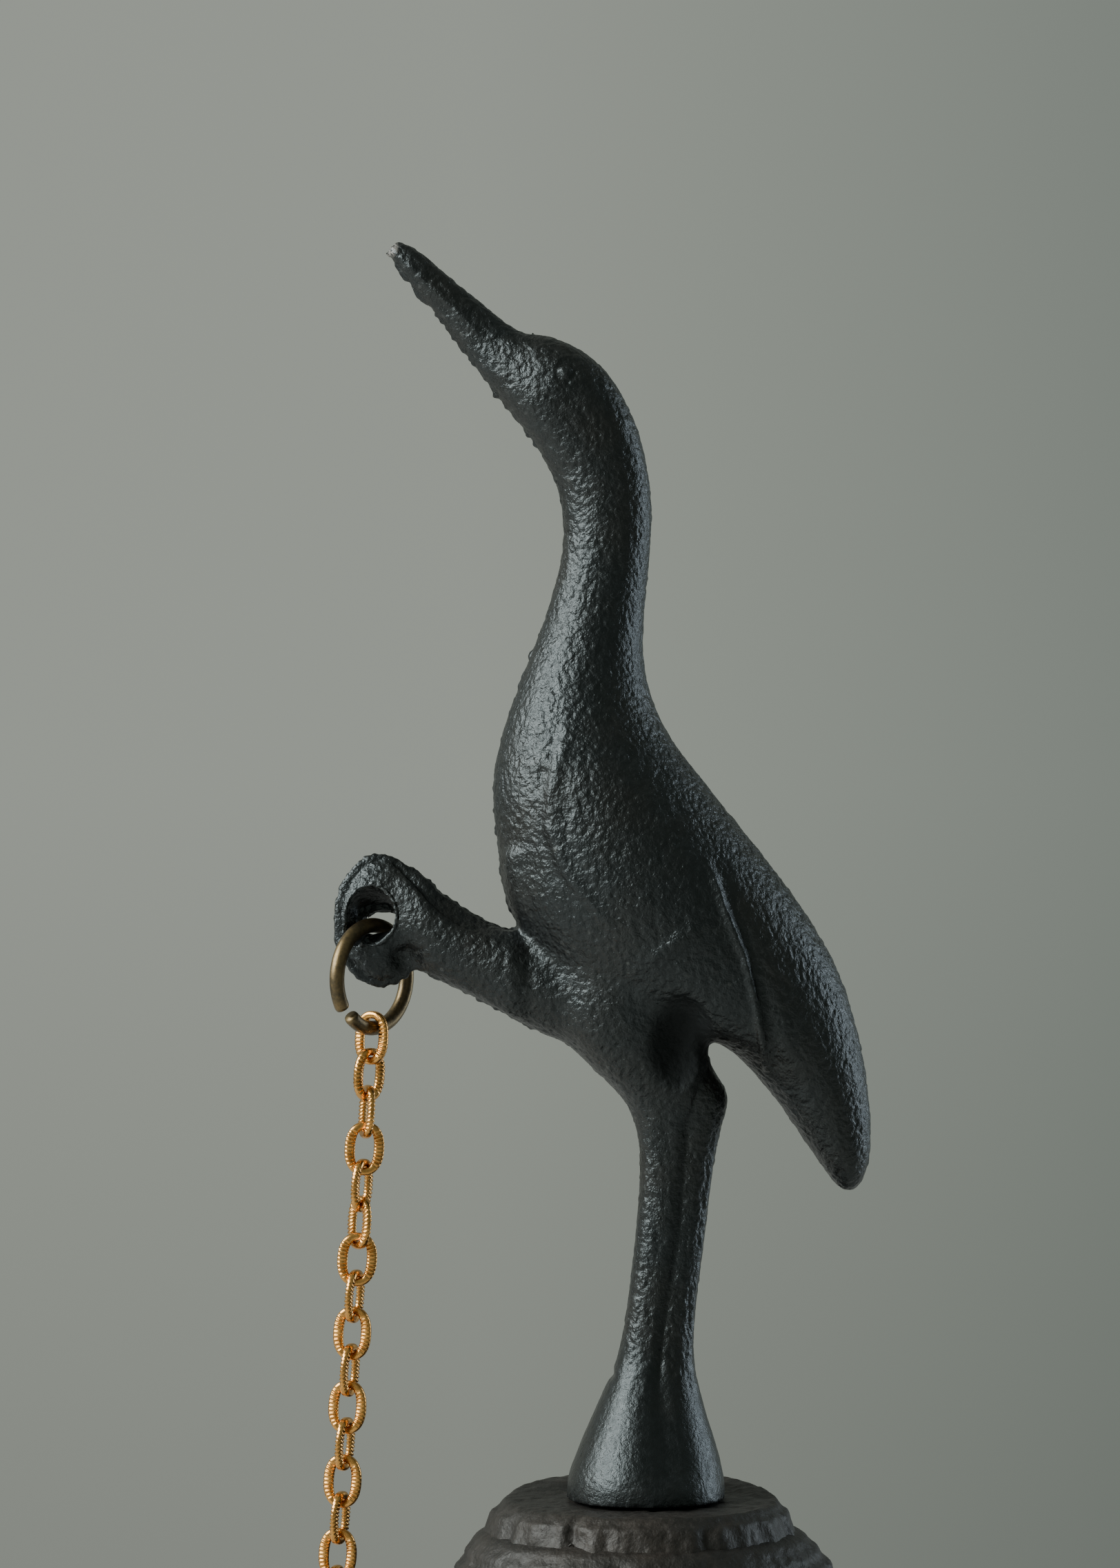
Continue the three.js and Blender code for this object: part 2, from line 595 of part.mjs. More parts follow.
function hangingParts() {
  const root = new THREE.Group();
  const ringMesh = named("jump_ring", ring(), AGED_BRASS);
  ringMesh.rotation.z = rad(RING_YAW);
  ringMesh.position.z = -RING_R;
  let group = hung(root, new THREE.Vector3(), ringTop, ringMesh);
  let hinge = ringTop;

  let wire = ringTop.clone().add(new THREE.Vector3(0, 0, -2 * RING_R)); // the wire that the next link hangs on
  let wireR = RING_WIRE_R;
  const lipSide = new THREE.Vector3(-(LIP_R + LINK_CLEAR), 0, lipZ + 3);
  const leaning = lipSide.clone().sub(wire).normalize();
  const down = new THREE.Vector3(0, 0, -1);
  const shape = link();
  let k = 0;
  for (; wire.z > lipZ - CHAIN_BELOW_LIP; k++) {
    const along = wire.z > lipSide.z ? leaning : down;
    const mesh = named(`chain_link_${String(k + 1).padStart(2, "0")}`, shape, GOLD_BRASS);
    mesh.quaternion
      .setFromUnitVectors(down, along)
      .multiply(new THREE.Quaternion().setFromAxisAngle(new THREE.Vector3(0, 0, 1), rad(turnOf(k))));
    mesh.position.copy(along).multiplyScalar(-(wireR + LINK_WIRE / 2 + LINK_GAP));
    const next = hung(group, hinge, wire, mesh);
    hinge = wire;
    group = next;
    wire = wire.clone().add(mesh.position).addScaledVector(along, LINK_SPAN);
    wireR = LINK_WIRE / 2;
  }
  const last = new THREE.Group();
  last.position.copy(wire).sub(hinge);
  last.rotation.z = rad(turnOf(k));
  for (const piece of striker()) last.add(piece);
  group.add(last);
  return root;
}

// The striker hangs from the chain's last wire, which is the origin here.
function striker() {
  const eyeMiddle = EYE_OUTER - EYE_WIRE / 2;
  const eyeZ = LINK_WIRE / 2 + LINK_GAP + EYE_WIRE / 2 - eyeMiddle;
  const rings = Array.from({ length: 16 }, (_, i) => {
    const angle = (2 * Math.PI * i) / 16;
    const out = new THREE.Vector3(Math.cos(angle), 0, Math.sin(angle));
    return Array.from({ length: 8 }, (_, j) => {
      const turn = (2 * Math.PI * (j + 0.5)) / 8;
      const reach = eyeMiddle + (EYE_WIRE / 2) * Math.cos(turn);
      return out.clone().multiplyScalar(reach).add(new THREE.Vector3(0, (EYE_WIRE / 2) * Math.sin(turn), eyeZ));
    });
  });
  const collarTop = eyeZ - eyeMiddle + 0.3;
  const gripTop = collarTop - COLLAR_T - GAP;
  const gripBottom = gripTop - GRIP_LENGTH;
  const ballTop = gripBottom - STRIKER_NECK;
  const rodEnd = ballTop - BALL_R;
  const shank = turned([
    [0, rodEnd],
    [ROD_R, rodEnd],
    [ROD_R, collarTop - COLLAR_T],
    [ROD_R + 1.4, collarTop - COLLAR_T],
    [ROD_R + 1.4, collarTop - 0.8],
    [ROD_R + 0.4, collarTop],
    [0, collarTop],
  ], 20);
  const bore = ROD_R + GAP;
  const ferruleInside = GRIP_R - FERRULE_WALL;
  const grip = turned([
    [bore, gripBottom],
    [ferruleInside - GAP, gripBottom],
    [ferruleInside - GAP, gripBottom + FERRULE_LENGTH + GAP],
    [GRIP_R, gripBottom + FERRULE_LENGTH + GAP],
    [GRIP_R + 0.9, gripBottom + GRIP_LENGTH * 0.35],
    [GRIP_R + 0.7, gripBottom + GRIP_LENGTH * 0.6],
    [GRIP_R - 1.3, gripTop - GRIP_LENGTH * 0.12],
    [GRIP_R - 0.8, gripTop - 2.5],
    [GRIP_R - 1.6, gripTop - 0.4],
    [GRIP_R - 2.2, gripTop],
    [bore, gripTop],
    [bore, gripBottom],
  ], 24);
  const ferrule = tube(GRIP_R + 0.15, ferruleInside, gripBottom + GAP, gripBottom + FERRULE_LENGTH, 28);
  const ballCentre = ballTop - BALL_R;
  const ball = solid(new THREE.SphereGeometry(BALL_R, 24, 16), alongZ(0, 0, ballCentre))
    .subtract(rod(bore, rodEnd - GAP, ballTop + 2))
    .subtract(solid(new THREE.BoxGeometry(40, 40, 4), alongY(0, 0, ballTop + 1.6)));
  return [
    named("striker_rod", geometryOf(shank.add(solid(skin(rings, true)))), BLACK_IRON),
    named("striker_grip", geometryOf(grip), DARK_WOOD),
    named("striker_ferrule", geometryOf(ferrule), AGED_BRASS),
    named("striker_ball", geometryOf(ball), BLACK_IRON),
  ];
}

// ---------------------------------------------------------------- the assembly
const assembly = new THREE.Group();
const bellFrame = new THREE.Group();
bellFrame.position.set(0, -PROJECTION, -(plateTop + plateBottom) / 2);
bellFrame.add(
  named("crane", geometryOf(crane()), BLACK_IRON),
  named("bell_body", geometryOf(bell()), BROWN_IRON),
  named("wall_bracket", geometryOf(bracket()), BROWN_IRON),
  ...fasteners(),
  hangingParts(),
);
assembly.add(bellFrame);

export default assembly;
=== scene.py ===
"""The looks of a cast iron wall bell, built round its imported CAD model.

A crane stands on the boss of a wall bracket, the bell hangs under it, and a ring, a chain and a striker hang
from the crane's raised foot. Sizes in tables are millimetres in the bell frame: origin on the bell's axis at
the top of the boss, +X to the right, +Y to the wall, +Z up.
"""
import itertools
import math

import bmesh
import bpy
import numpy as np
from mathutils import Matrix, Vector


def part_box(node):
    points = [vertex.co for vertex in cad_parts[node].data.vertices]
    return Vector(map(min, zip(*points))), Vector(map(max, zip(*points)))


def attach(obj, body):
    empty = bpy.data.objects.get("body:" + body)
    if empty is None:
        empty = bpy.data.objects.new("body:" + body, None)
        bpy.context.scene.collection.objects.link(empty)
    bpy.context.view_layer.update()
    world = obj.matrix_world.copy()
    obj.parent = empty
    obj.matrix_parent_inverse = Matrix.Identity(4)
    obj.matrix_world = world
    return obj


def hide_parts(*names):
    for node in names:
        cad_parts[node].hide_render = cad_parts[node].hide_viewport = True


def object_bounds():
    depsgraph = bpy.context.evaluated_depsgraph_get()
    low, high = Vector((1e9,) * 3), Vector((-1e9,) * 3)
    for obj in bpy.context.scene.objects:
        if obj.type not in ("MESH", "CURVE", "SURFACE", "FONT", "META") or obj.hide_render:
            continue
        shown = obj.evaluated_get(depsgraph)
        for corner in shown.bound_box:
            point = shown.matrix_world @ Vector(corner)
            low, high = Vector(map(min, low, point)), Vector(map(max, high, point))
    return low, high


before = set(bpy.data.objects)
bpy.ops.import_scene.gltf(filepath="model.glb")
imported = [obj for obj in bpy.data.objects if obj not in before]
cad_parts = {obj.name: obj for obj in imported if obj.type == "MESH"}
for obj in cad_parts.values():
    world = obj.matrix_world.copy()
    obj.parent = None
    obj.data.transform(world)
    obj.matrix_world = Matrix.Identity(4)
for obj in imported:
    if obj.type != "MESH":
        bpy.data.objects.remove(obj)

MM = 0.001
cad_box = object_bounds()

bell_low, bell_high = (np.array(corner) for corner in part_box("bell_body"))
boss_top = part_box("wall_bracket")[1][2]
BELL = np.array([(bell_low[0] + bell_high[0]) / 2, (bell_low[1] + bell_high[1]) / 2, boss_top])


# ---------------------------------------------------------------- meshes
def new_object(name, verts, faces):
    mesh = bpy.data.meshes.new(name)
    mesh.from_pydata([tuple(v) for v in verts], [], [tuple(f) for f in faces])
    mesh.validate()
    obj = bpy.data.objects.new(name, mesh)
    bpy.context.scene.collection.objects.link(obj)
    mesh.shade_smooth()
    return obj


def coordinates(mesh):
    flat = np.empty(len(mesh.vertices) * 3)
    mesh.vertices.foreach_get("co", flat)
    return flat.reshape(-1, 3)


def normals(mesh):
    flat = np.empty(len(mesh.vertices) * 3)
    mesh.vertices.foreach_get("normal", flat)
    return flat.reshape(-1, 3)


def put_back(mesh, points):
    mesh.vertices.foreach_set("co", points.ravel())
    mesh.update()


def apply_modifiers(obj):
    """Replaces the object's mesh with what its modifiers make of it."""
    evaluated = obj.evaluated_get(bpy.context.evaluated_depsgraph_get())
    made = bpy.data.meshes.new_from_object(evaluated)
    old = obj.data
    obj.modifiers.clear()
    obj.data = made
    bpy.data.meshes.remove(old)
    made.shade_smooth()


def remesh(obj, voxel, smoothing):
    """Turns closed, overlapping shells into one skin of even quads, and eases it."""
    cut = obj.modifiers.new("voxels", "REMESH")
    cut.mode = "VOXEL"
    cut.voxel_size = voxel * MM
    if smoothing:
        ease = obj.modifiers.new("ease", "SMOOTH")
        ease.factor = 0.5
        ease.iterations = smoothing
    apply_modifiers(obj)


def ease_where(obj, name, share, iterations):
    """Eases a mesh, each point by its share."""
    group = obj.vertex_groups.new(name=name)
    for i in np.flatnonzero(share > 0.02):
        group.add([int(i)], float(share[i]), "REPLACE")
    ease = obj.modifiers.new(name, "SMOOTH")
    ease.factor = 0.5
    ease.iterations = iterations
    ease.vertex_group = name
    apply_modifiers(obj)


def cut_away(obj, cutters):
    for cutter in cutters:
        boolean = obj.modifiers.new("cut", "BOOLEAN")
        boolean.operation = "DIFFERENCE"
        boolean.solver = "EXACT"
        boolean.object = cutter
    apply_modifiers(obj)
    for cutter in cutters:
        bpy.data.objects.remove(cutter)


def copy_of(node, name):
    obj = bpy.data.objects.new(name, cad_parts[node].data.copy())
    bpy.context.scene.collection.objects.link(obj)
    merge = bmesh.new()
    merge.from_mesh(obj.data)
    bmesh.ops.remove_doubles(merge, verts=merge.verts, dist=1e-6)
    merge.to_mesh(obj.data)
    merge.free()
    obj.data.materials.clear()
    return obj


def stand_for(obj, nodes, body, material):
    """Dresses a piece, hides the CAD nodes that it stands for, and hangs it on their body."""
    obj.data.materials.clear()
    obj.data.materials.append(material)
    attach(obj, body)
    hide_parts(*nodes)


def skin(rings, closed=False):
    """Vertices and faces of rings of points skinned into one closed surface."""
    count, around = len(rings), len(rings[0])
    verts = [p for ring in rings for p in ring]
    faces = []
    for i in range(count if closed else count - 1):
        here, there = i * around, ((i + 1) % count) * around
        for j in range(around):
            k = (j + 1) % around
            faces.append((here + j, here + k, there + k, there + j))
    if not closed:
        faces.append(tuple(range(around))[::-1])
        faces.append(tuple(range((count - 1) * around, count * around)))
    return verts, faces


def facing_out(obj):
    tidy = bmesh.new()
    tidy.from_mesh(obj.data)
    bmesh.ops.recalc_face_normals(tidy, faces=tidy.faces)
    tidy.to_mesh(obj.data)
    tidy.free()
    return obj


# ---------------------------------------------------------------- noise and height fields
def noise(points, size, seed):
    """Smooth noise between -1 and 1 at points in mm, in lumps of the given size."""
    q = points / size
    cell = np.floor(q).astype(np.int64)
    f = q - cell
    f = f * f * (3 - 2 * f)
    total = np.zeros(len(points))
    for corner in itertools.product((0, 1), repeat=3):
        c = cell + corner
        h = (c[:, 0] * 73856093) ^ (c[:, 1] * 19349663) ^ (c[:, 2] * 83492791) ^ (seed * 40503)
        h = (h * 1274126177) & 0x7FFFFFFF
        h = ((h >> 11) ^ h) * 668265263 & 0x7FFFFFFF
        value = ((h >> 7) & 0xFFFF) / 32767.5 - 1
        total += value * np.prod(np.where(corner, f, 1 - f), axis=1)
    return total


def smooth_step(x):
    x = np.clip(x, 0, 1)
    return x * x * (3 - 2 * x)


def along_line(xz, line):
    """For points in the side view: distance to a line of points, which side they are on, and how far along."""
    line = np.array(line, float)
    lengths = np.hypot(*(line[1:] - line[:-1]).T)
    start = np.concatenate([[0], np.cumsum(lengths)])
    best = np.full(len(xz), 1e9)
    side = np.zeros(len(xz))
    where = np.zeros(len(xz))
    for a, b, length, s in zip(line, line[1:], lengths, start):
        d = (b - a) / length
        rel = xz - a
        t = np.clip(rel @ d, 0, length)
        away = rel - t[:, None] * d
        dist = np.hypot(*away.T)
        closer = dist < best
        cross = d[0] * rel[:, 1] - d[1] * rel[:, 0]
        best = np.where(closer, dist, best)
        side = np.where(closer, np.sign(cross), side)
        where = np.where(closer, (t + s) / start[-1], where)
    return best, side, where


def cast_grain(points, seed, lumps, grain):
    """How far a rough casting's skin lies under its mould, in mm: soft lumps and a pebbled grain."""
    coarse = noise(points, 3.1, seed) * 0.6 + noise(points, 1.7, seed + 1) * 0.4
    fine = noise(points, 0.95, seed + 2) * 0.6 + noise(points, 0.55, seed + 3) * 0.4
    return -lumps * (0.5 - 0.5 * coarse) - grain * (0.5 - 0.5 * fine)


def weather(obj, node, height):
    """Moves each point along its normal by height(points, normals) in mm, inside the CAD node's box."""
    low, high = (np.array(corner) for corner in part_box(node))
    at = coordinates(obj.data)
    out = normals(obj.data)
    moved = at + out * (height((at - BELL) / MM, out) * MM)[:, None]
    put_back(obj.data, np.clip(moved, low, high))


# ---------------------------------------------------------------- materials
def material(name):
    made = bpy.data.materials.new(name)
    made.use_nodes = True
    tree = made.node_tree
    shader = next(n for n in tree.nodes if n.type == "BSDF_PRINCIPLED")
    place = tree.nodes.new("ShaderNodeTexCoord").outputs["Object"]
    return made, tree, shader, place


def grain_node(tree, place, size_mm, detail=3, rough=0.55, kind="ShaderNodeTexNoise"):
    node = tree.nodes.new(kind)
    tree.links.new(place, node.inputs["Vector"])
    node.inputs["Scale"].default_value = 1 / (size_mm * MM)
    if kind == "ShaderNodeTexNoise":
        node.inputs["Detail"].default_value = detail
        node.inputs["Roughness"].default_value = rough
    return node


def ramp(tree, value, stops):
    node = tree.nodes.new("ShaderNodeValToRGB")
    tree.links.new(value, node.inputs["Fac"])
    points = node.color_ramp.elements
    while len(points) < len(stops):
        points.new(0.5)
    for point, (position, colour) in zip(points, stops):
        point.position = position
        point.color = (*colour, 1)
    return node.outputs["Color"]


def grey(v):
    return (v, v, v)


def blend(tree, share, a, b, how="MIX"):
    node = tree.nodes.new("ShaderNodeMix")
    node.data_type = "RGBA"
    node.blend_type = how
    for socket, value in (("Factor", share), ("A", a), ("B", b)):
        inputs = [s for s in node.inputs if s.name == socket and s.type in ("RGBA", "VALUE")]
        target = inputs[-1] if socket != "Factor" else inputs[0]
        if isinstance(value, bpy.types.NodeSocket):
            tree.links.new(value, target)
        else:
            target.default_value = value if socket == "Factor" else (*value, 1)
    return next(s for s in node.outputs if s.type == "RGBA")


def bumps(tree, shader, layers):
    """Chains bump nodes: each layer is (height socket, distance in mm, strength)."""
    last = None
    for height, distance, strength in layers:
        node = tree.nodes.new("ShaderNodeBump")
        node.inputs["Distance"].default_value = distance * MM
        node.inputs["Strength"].default_value = strength
        tree.links.new(height, node.inputs["Height"])
        if last:
            tree.links.new(last, node.inputs["Normal"])
        last = node.outputs["Normal"]
    tree.links.new(last, shader.inputs["Normal"])


def spot(tree, place, middle, half):
    """A soft mask round a place given in mm in the bell frame; a half size of None means any distance."""
    shift = tree.nodes.new("ShaderNodeMapping")
    scale = [0.0 if h is None else 0.5 / (h * MM) for h in half]
    at = BELL + np.array(middle) * MM
    shift.inputs["Scale"].default_value = scale
    shift.inputs["Location"].default_value = [-a * k for a, k in zip(at, scale)]
    tree.links.new(place, shift.inputs["Vector"])
    length = tree.nodes.new("ShaderNodeVectorMath")
    length.operation = "LENGTH"
    tree.links.new(shift.outputs["Vector"], length.inputs[0])
    return ramp(tree, length.outputs["Value"], [(0.3, grey(1)), (0.5, grey(0))])


def cast_iron(name, dark, brown, roughness, grain, worn=0.5, tint=(0.86, 0.98, 1.0),
              painted_shade=(), bare=(), smooth=()):
    """Old lacquered iron: a near black skin with brown patches, a pebbled grain and rubbed high spots.

    Painted shade is a dull black spot for where shade falls in a recess, bare iron a dull light grey, and
    smooth places have less grain; each is a list of places and half sizes in mm.
    """
    made, tree, shader, place = material(name)
    patches = grain_node(tree, place, 12, 4)
    speckle = grain_node(tree, place, 1.1, 4)
    pebbles = grain_node(tree, place, grain, 2, 0.5)
    skin_colour = ramp(tree, patches.outputs["Fac"], [(0.45, dark), (0.72, brown)])
    flecked = ramp(tree, speckle.outputs["Fac"], [(0.3, grey(0.6)), (0.7, grey(1.3))])
    colour = blend(tree, 1.0, skin_colour, flecked, "MULTIPLY")
    rubbed = ramp(tree, tree.nodes.new("ShaderNodeNewGeometry").outputs["Pointiness"],
                  [(0.53, grey(0)), (0.64, grey(1))])
    broken = ramp(tree, speckle.outputs["Fac"], [(0.4, grey(0)), (0.7, grey(worn))])
    worn_share = blend(tree, 1.0, rubbed, broken, "MULTIPLY")
    colour = blend(tree, worn_share, colour, (0.075, 0.078, 0.074))
    shine = ramp(tree, speckle.outputs["Fac"],
                 [(0.25, grey(roughness - 0.08)), (0.8, grey(roughness + 0.14))])
    for middle, half in bare:
        mask = blend(tree, 1.0, spot(tree, place, middle, half),
                     ramp(tree, grain_node(tree, place, 0.4, 2).outputs["Fac"], [(0.38, grey(0)), (0.52, grey(1))]),
                     "MULTIPLY")
        colour = blend(tree, mask, colour, (0.19, 0.18, 0.165))
    # painted shade: each spot darkens the colour to near black and dulls it where shade falls in a recess
    for middle, half in painted_shade:
        mask = spot(tree, place, middle, half)
        colour = blend(tree, mask, colour, (0.002, 0.0018, 0.0016))
        shine = blend(tree, mask, shine, grey(0.85))
    tree.links.new(colour, shader.inputs["Base Color"])
    tree.links.new(shine, shader.inputs["Roughness"])
    shader.inputs["Specular Tint"].default_value = (*tint, 1)
    fine = grain_node(tree, place, grain * 0.4, 2, 0.6)
    relief = pebbles.outputs["Color"]
    for middle, half in smooth:
        share = blend(tree, 1.0, spot(tree, place, middle, half), grey(0.5), "MULTIPLY")
        relief = blend(tree, share, relief, grey(0.5))
    bumps(tree, shader, [(relief, 0.3, 0.9), (fine.outputs["Fac"], 0.08, 0.6)])
    return made


def metal(name, light, shade, roughness, scratch_mm=0.8, mottle=5.0, depth=0.02):
    """Bare metal whose colour drifts in patches, with fine handling marks."""
    made, tree, shader, place = material(name)
    patches = grain_node(tree, place, mottle, 4)
    marks = grain_node(tree, place, scratch_mm, 5, 0.7)
    mixed = blend(tree, 0.5, patches.outputs["Color"], marks.outputs["Color"])
    tone = tree.nodes.new("ShaderNodeRGBToBW")
    tree.links.new(mixed, tone.inputs["Color"])
    tree.links.new(ramp(tree, tone.outputs["Val"], [(0.35, shade), (0.62, light)]), shader.inputs["Base Color"])
    shine = ramp(tree, marks.outputs["Fac"], [(0.3, grey(roughness - 0.06)), (0.75, grey(roughness + 0.12))])
    tree.links.new(shine, shader.inputs["Roughness"])
    shader.inputs["Metallic"].default_value = 1.0
    bumps(tree, shader, [(marks.outputs["Fac"], depth, 0.5)])
    return made


black_iron = cast_iron(
    "black_iron", (0.0045, 0.0053, 0.0056), (0.0085, 0.0075, 0.0062), 0.34, 0.55,
    # painted shade in the recess between the thigh and the tail
    painted_shade=[((4.8, 0, 60.8), (5.2, None, 7.6))],
    bare=[((-34.2, 0, 167.9), (1.5, None, 1.5))],
    smooth=[((0, 0, 4), (26, None, 22))])
brown_iron = cast_iron(
    "brown_iron", (0.008, 0.0072, 0.006), (0.019, 0.015, 0.0118), 0.56, 0.9,
    worn=0.8, tint=(0.93, 0.93, 0.9))
old_brass = metal("aged_brass", (0.23, 0.165, 0.08), (0.06, 0.054, 0.04), 0.38, 0.5, 3.0, 0.03)
gold_brass = metal("gold_brass", (0.84, 0.46, 0.14), (0.42, 0.19, 0.05), 0.22, 0.35, 1.6, 0.012)
steel = metal("turned_steel", (0.5, 0.5, 0.5), (0.32, 0.31, 0.3), 0.32, 0.4, 4.0)


def leather():
    made, tree, shader, place = material("harness_leather")
    cells = grain_node(tree, place, 0.8, kind="ShaderNodeTexVoronoi")
    patches = grain_node(tree, place, 5, 4)
    tree.links.new(ramp(tree, patches.outputs["Fac"], [(0.35, (0.11, 0.055, 0.027)), (0.7, (0.2, 0.105, 0.05))]),
                   shader.inputs["Base Color"])
    tree.links.new(ramp(tree, patches.outputs["Fac"], [(0.3, grey(0.6)), (0.7, grey(0.8))]),
                   shader.inputs["Roughness"])
    bumps(tree, shader, [(cells.outputs["Distance"], 0.06, 0.6)])
    return made


def hardwood():
    made, tree, shader, place = material("oiled_hardwood")
    stretch = tree.nodes.new("ShaderNodeMapping")
    stretch.inputs["Scale"].default_value = (1, 1, 0.07)
    tree.links.new(place, stretch.inputs["Vector"])
    streaks = grain_node(tree, stretch.outputs["Vector"], 1.1, 5, 0.6)
    pores = grain_node(tree, stretch.outputs["Vector"], 0.35, 3, 0.6)
    tree.links.new(ramp(tree, streaks.outputs["Fac"], [(0.35, (0.035, 0.013, 0.006)), (0.65, (0.12, 0.05, 0.021))]),
                   shader.inputs["Base Color"])
    tree.links.new(ramp(tree, pores.outputs["Fac"], [(0.35, grey(0.5)), (0.6, grey(0.34))]),
                   shader.inputs["Roughness"])
    bumps(tree, shader, [(pores.outputs["Fac"], 0.05, 0.5)])
    return made


harness_leather = leather()
oiled_hardwood = hardwood()

# ---------------------------------------------------------------- crane
# Ribs across the casting: front x, front z, back x, back z, half thickness.
TRUNK = [
    (-34.5, 166.9, -33.3, 168.9, 0.9), (-33.1, 165.1, -30.6, 167.7, 1.8), (-30.5, 161.7, -26.8, 164.6, 2.2),
    (-26.8, 157.4, -22.9, 161.4, 2.5), (-23.6, 153.2, -19.1, 158.2, 2.9), (-21.0, 149.6, -16.3, 156.4, 3.9),
    (-18.1, 145.9, -12.4, 155.7, 5.3), (-16.2, 143.5, -8.7, 154.1, 6.2), (-14.7, 141.5, -5.0, 151.1, 6.2),
    (-13.2, 139.0, -1.8, 145.8, 6.0), (-11.9, 136.3, 0.2, 139.9, 5.8), (-10.8, 131.5, 1.1, 132.5, 5.8),
    (-11.2, 125.4, 0.8, 125.5, 6.1), (-13.4, 117.6, 0.1, 118.0, 6.8), (-16.4, 109.7, 0.3, 110.6, 8.2),
    (-19.0, 102.2, 2.8, 103.4, 10.4), (-20.2, 95.0, 8.8, 95.2, 12.6), (-19.6, 87.5, 15.2, 87.2, 14.0),
    (-18.2, 79.5, 21.3, 79.1, 14.2), (-12.5, 71.5, 26.0, 70.9, 12.8), (-1.0, 65.0, 28.8, 62.4, 10.4),
    (11.0, 60.4, 30.2, 54.2, 7.8), (17.2, 54.0, 30.6, 48.2, 6.0), (21.9, 47.4, 30.2, 44.6, 4.6),
    (25.0, 42.9, 29.2, 42.2, 2.8), (26.4, 41.3, 28.2, 41.0, 1.2),
]
RAISED_LEG = [
    (-4.0, 76.0, -2.0, 60.0, 6.0), (-14.0, 75.6, -11.6, 61.2, 6.2), (-18.6, 76.3, -16.6, 63.6, 5.4),
    (-22.8, 78.3, -21.6, 66.4, 4.8), (-26.6, 80.8, -25.8, 68.5, 4.5), (-29.8, 83.6, -29.6, 70.4, 4.3),
    (-33.4, 85.9, -33.2, 71.4, 3.3),
]
STANDING_LEG = [
    (-12.0, 74.0, 8.0, 74.0, 9.5), (-12.6, 64.5, 8.2, 64.5, 9.0), (-7.6, 58.2, 9.0, 58.2, 7.6),
    (-2.9, 53.6, 11.3, 53.9, 6.0), (-0.9, 49.2, 10.2, 48.6, 5.0), (-0.5, 43.0, 9.2, 43.0, 4.6),
    (-1.2, 34.0, 8.1, 34.0, 4.5), (-2.3, 25.0, 7.0, 25.0, 4.6), (-3.6, 18.6, 6.8, 18.6, 5.4),
    (-6.2, 12.4, 8.1, 12.4, 7.6), (-8.6, 6.9, 9.8, 6.9, 9.9), (-10.1, 2.6, 10.8, 2.6, 11.4),
    (-10.3, 0.0, 10.9, 0.0, 11.6), (-10.4, -3.0, 11.0, -3.0, 11.6),
]
LEG_POWERS = [2.2, 2.2, 2.4, 2.8, 3.4, 3.4, 3.4, 3.2, 2.8, 2.3] + [2.2] * 4  # one for each rib
CLAW = {"middle": (-35.3, 0, 77.3), "half": (6.4, 3.5, 9.1)}
EYE = {"x": -35.7, "z": 78.1, "lean": 1.3, "half": 4.5, "wide": 2.9, "flare": 0.5, "roof": 2.2, "tilt": 2.2,
       "floor": 2.6, "droop": 1.9}
LIFT = 0.3  # the crane stands this far above the boss

# The open ring: to the middle of its wire, the wire's radius, and in degrees its gap and how it hangs.
RING_R = 6.9
RING_WIRE = 1.0
RING_GAP = 12
RING_GAP_AT = 222
RING_YAW = 50
RING_SPRUNG = 0.28  # the ends have sprung this far to each side
RING_ROOM = 0.3  # cleared in the eye all round the wire


def ring_middle():
    low, high = (np.array(c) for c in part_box("jump_ring"))
    middle = (low + high) / 2
    middle[2] = high[2] - (RING_R + RING_WIRE) * MM
    return middle


# Lines of the side view: x and z.
WING_RIDGE = [(7.4, 88), (10.5, 79.2), (13.1, 72.9), (14.7, 66.5), (15.7, 61.2), (16.4, 56.5)]
WING_EDGE = [
    (-9.8, 106), (-11.2, 100.5), (-12.6, 95), (-12.7, 89.8), (-11, 84.4), (-6.8, 79.2), (-2.8, 74.4), (1.5, 73),
]
THIGH_FOLD = [(-1, 71.5), (1.5, 73), (5, 75.4), (8, 78)]
LEG_GROOVE = [(8.6, 59), (6.8, 54.5), (5.4, 50.6), (4.2, 35.8), (2.1, 22.6), (1.4, 16.6), (2.0, 9), (2.4, 1)]
CLAW_EDGE = [(-36.5, 86.5), (-33.4, 85.6), (-30.6, 82.2), (-27.5, 78.6), (-24.7, 76.6), (-18, 74.2)]
CLAW_POCKET = (-32.0, 72.2)
CAVE = (4.9, 60.4)  # the dark recess between the thigh and the tail
CAVE_HALF = (4.8, 7.5, 7.4)
CAVE_Y = 11.8
BEAK_LINE = [(-34, 167.6), (-28.8, 162.6), (-22.5, 156.6)]
BIRD_EYE = (-10.4, 150.7)
CRATER = (-13.7, 97.4)
CHIP = (-4.7, 16.6)


def curve_through(points, steps):
    """Points of a smooth curve through the given ones, centripetal as in the CAD source."""
    points = np.array(points, float)
    padded = np.vstack([2 * points[0] - points[1], points, 2 * points[-1] - points[-2]])
    made = []
    for i in range(len(points) - 1):
        p0, p1, p2, p3 = padded[i:i + 4]
        d = [max(np.linalg.norm(b - a) ** 0.5, 1e-6) for a, b in ((p0, p1), (p1, p2), (p2, p3))]
        m1 = d[1] * ((p1 - p0) / d[0] - (p2 - p0) / (d[0] + d[1]) + (p2 - p1) / d[1])
        m2 = d[1] * ((p2 - p1) / d[1] - (p3 - p1) / (d[1] + d[2]) + (p3 - p2) / d[2])
        last = i == len(points) - 2
        for t in np.linspace(0, 1, steps + 1)[:steps + 1 if last else steps]:
            made.append((2 * t**3 - 3 * t**2 + 1) * p1 + (t**3 - 2 * t**2 + t) * m1
                        + (3 * t**2 - 2 * t**3) * p2 + (t**3 - t**2) * m2)
    return np.array(made)


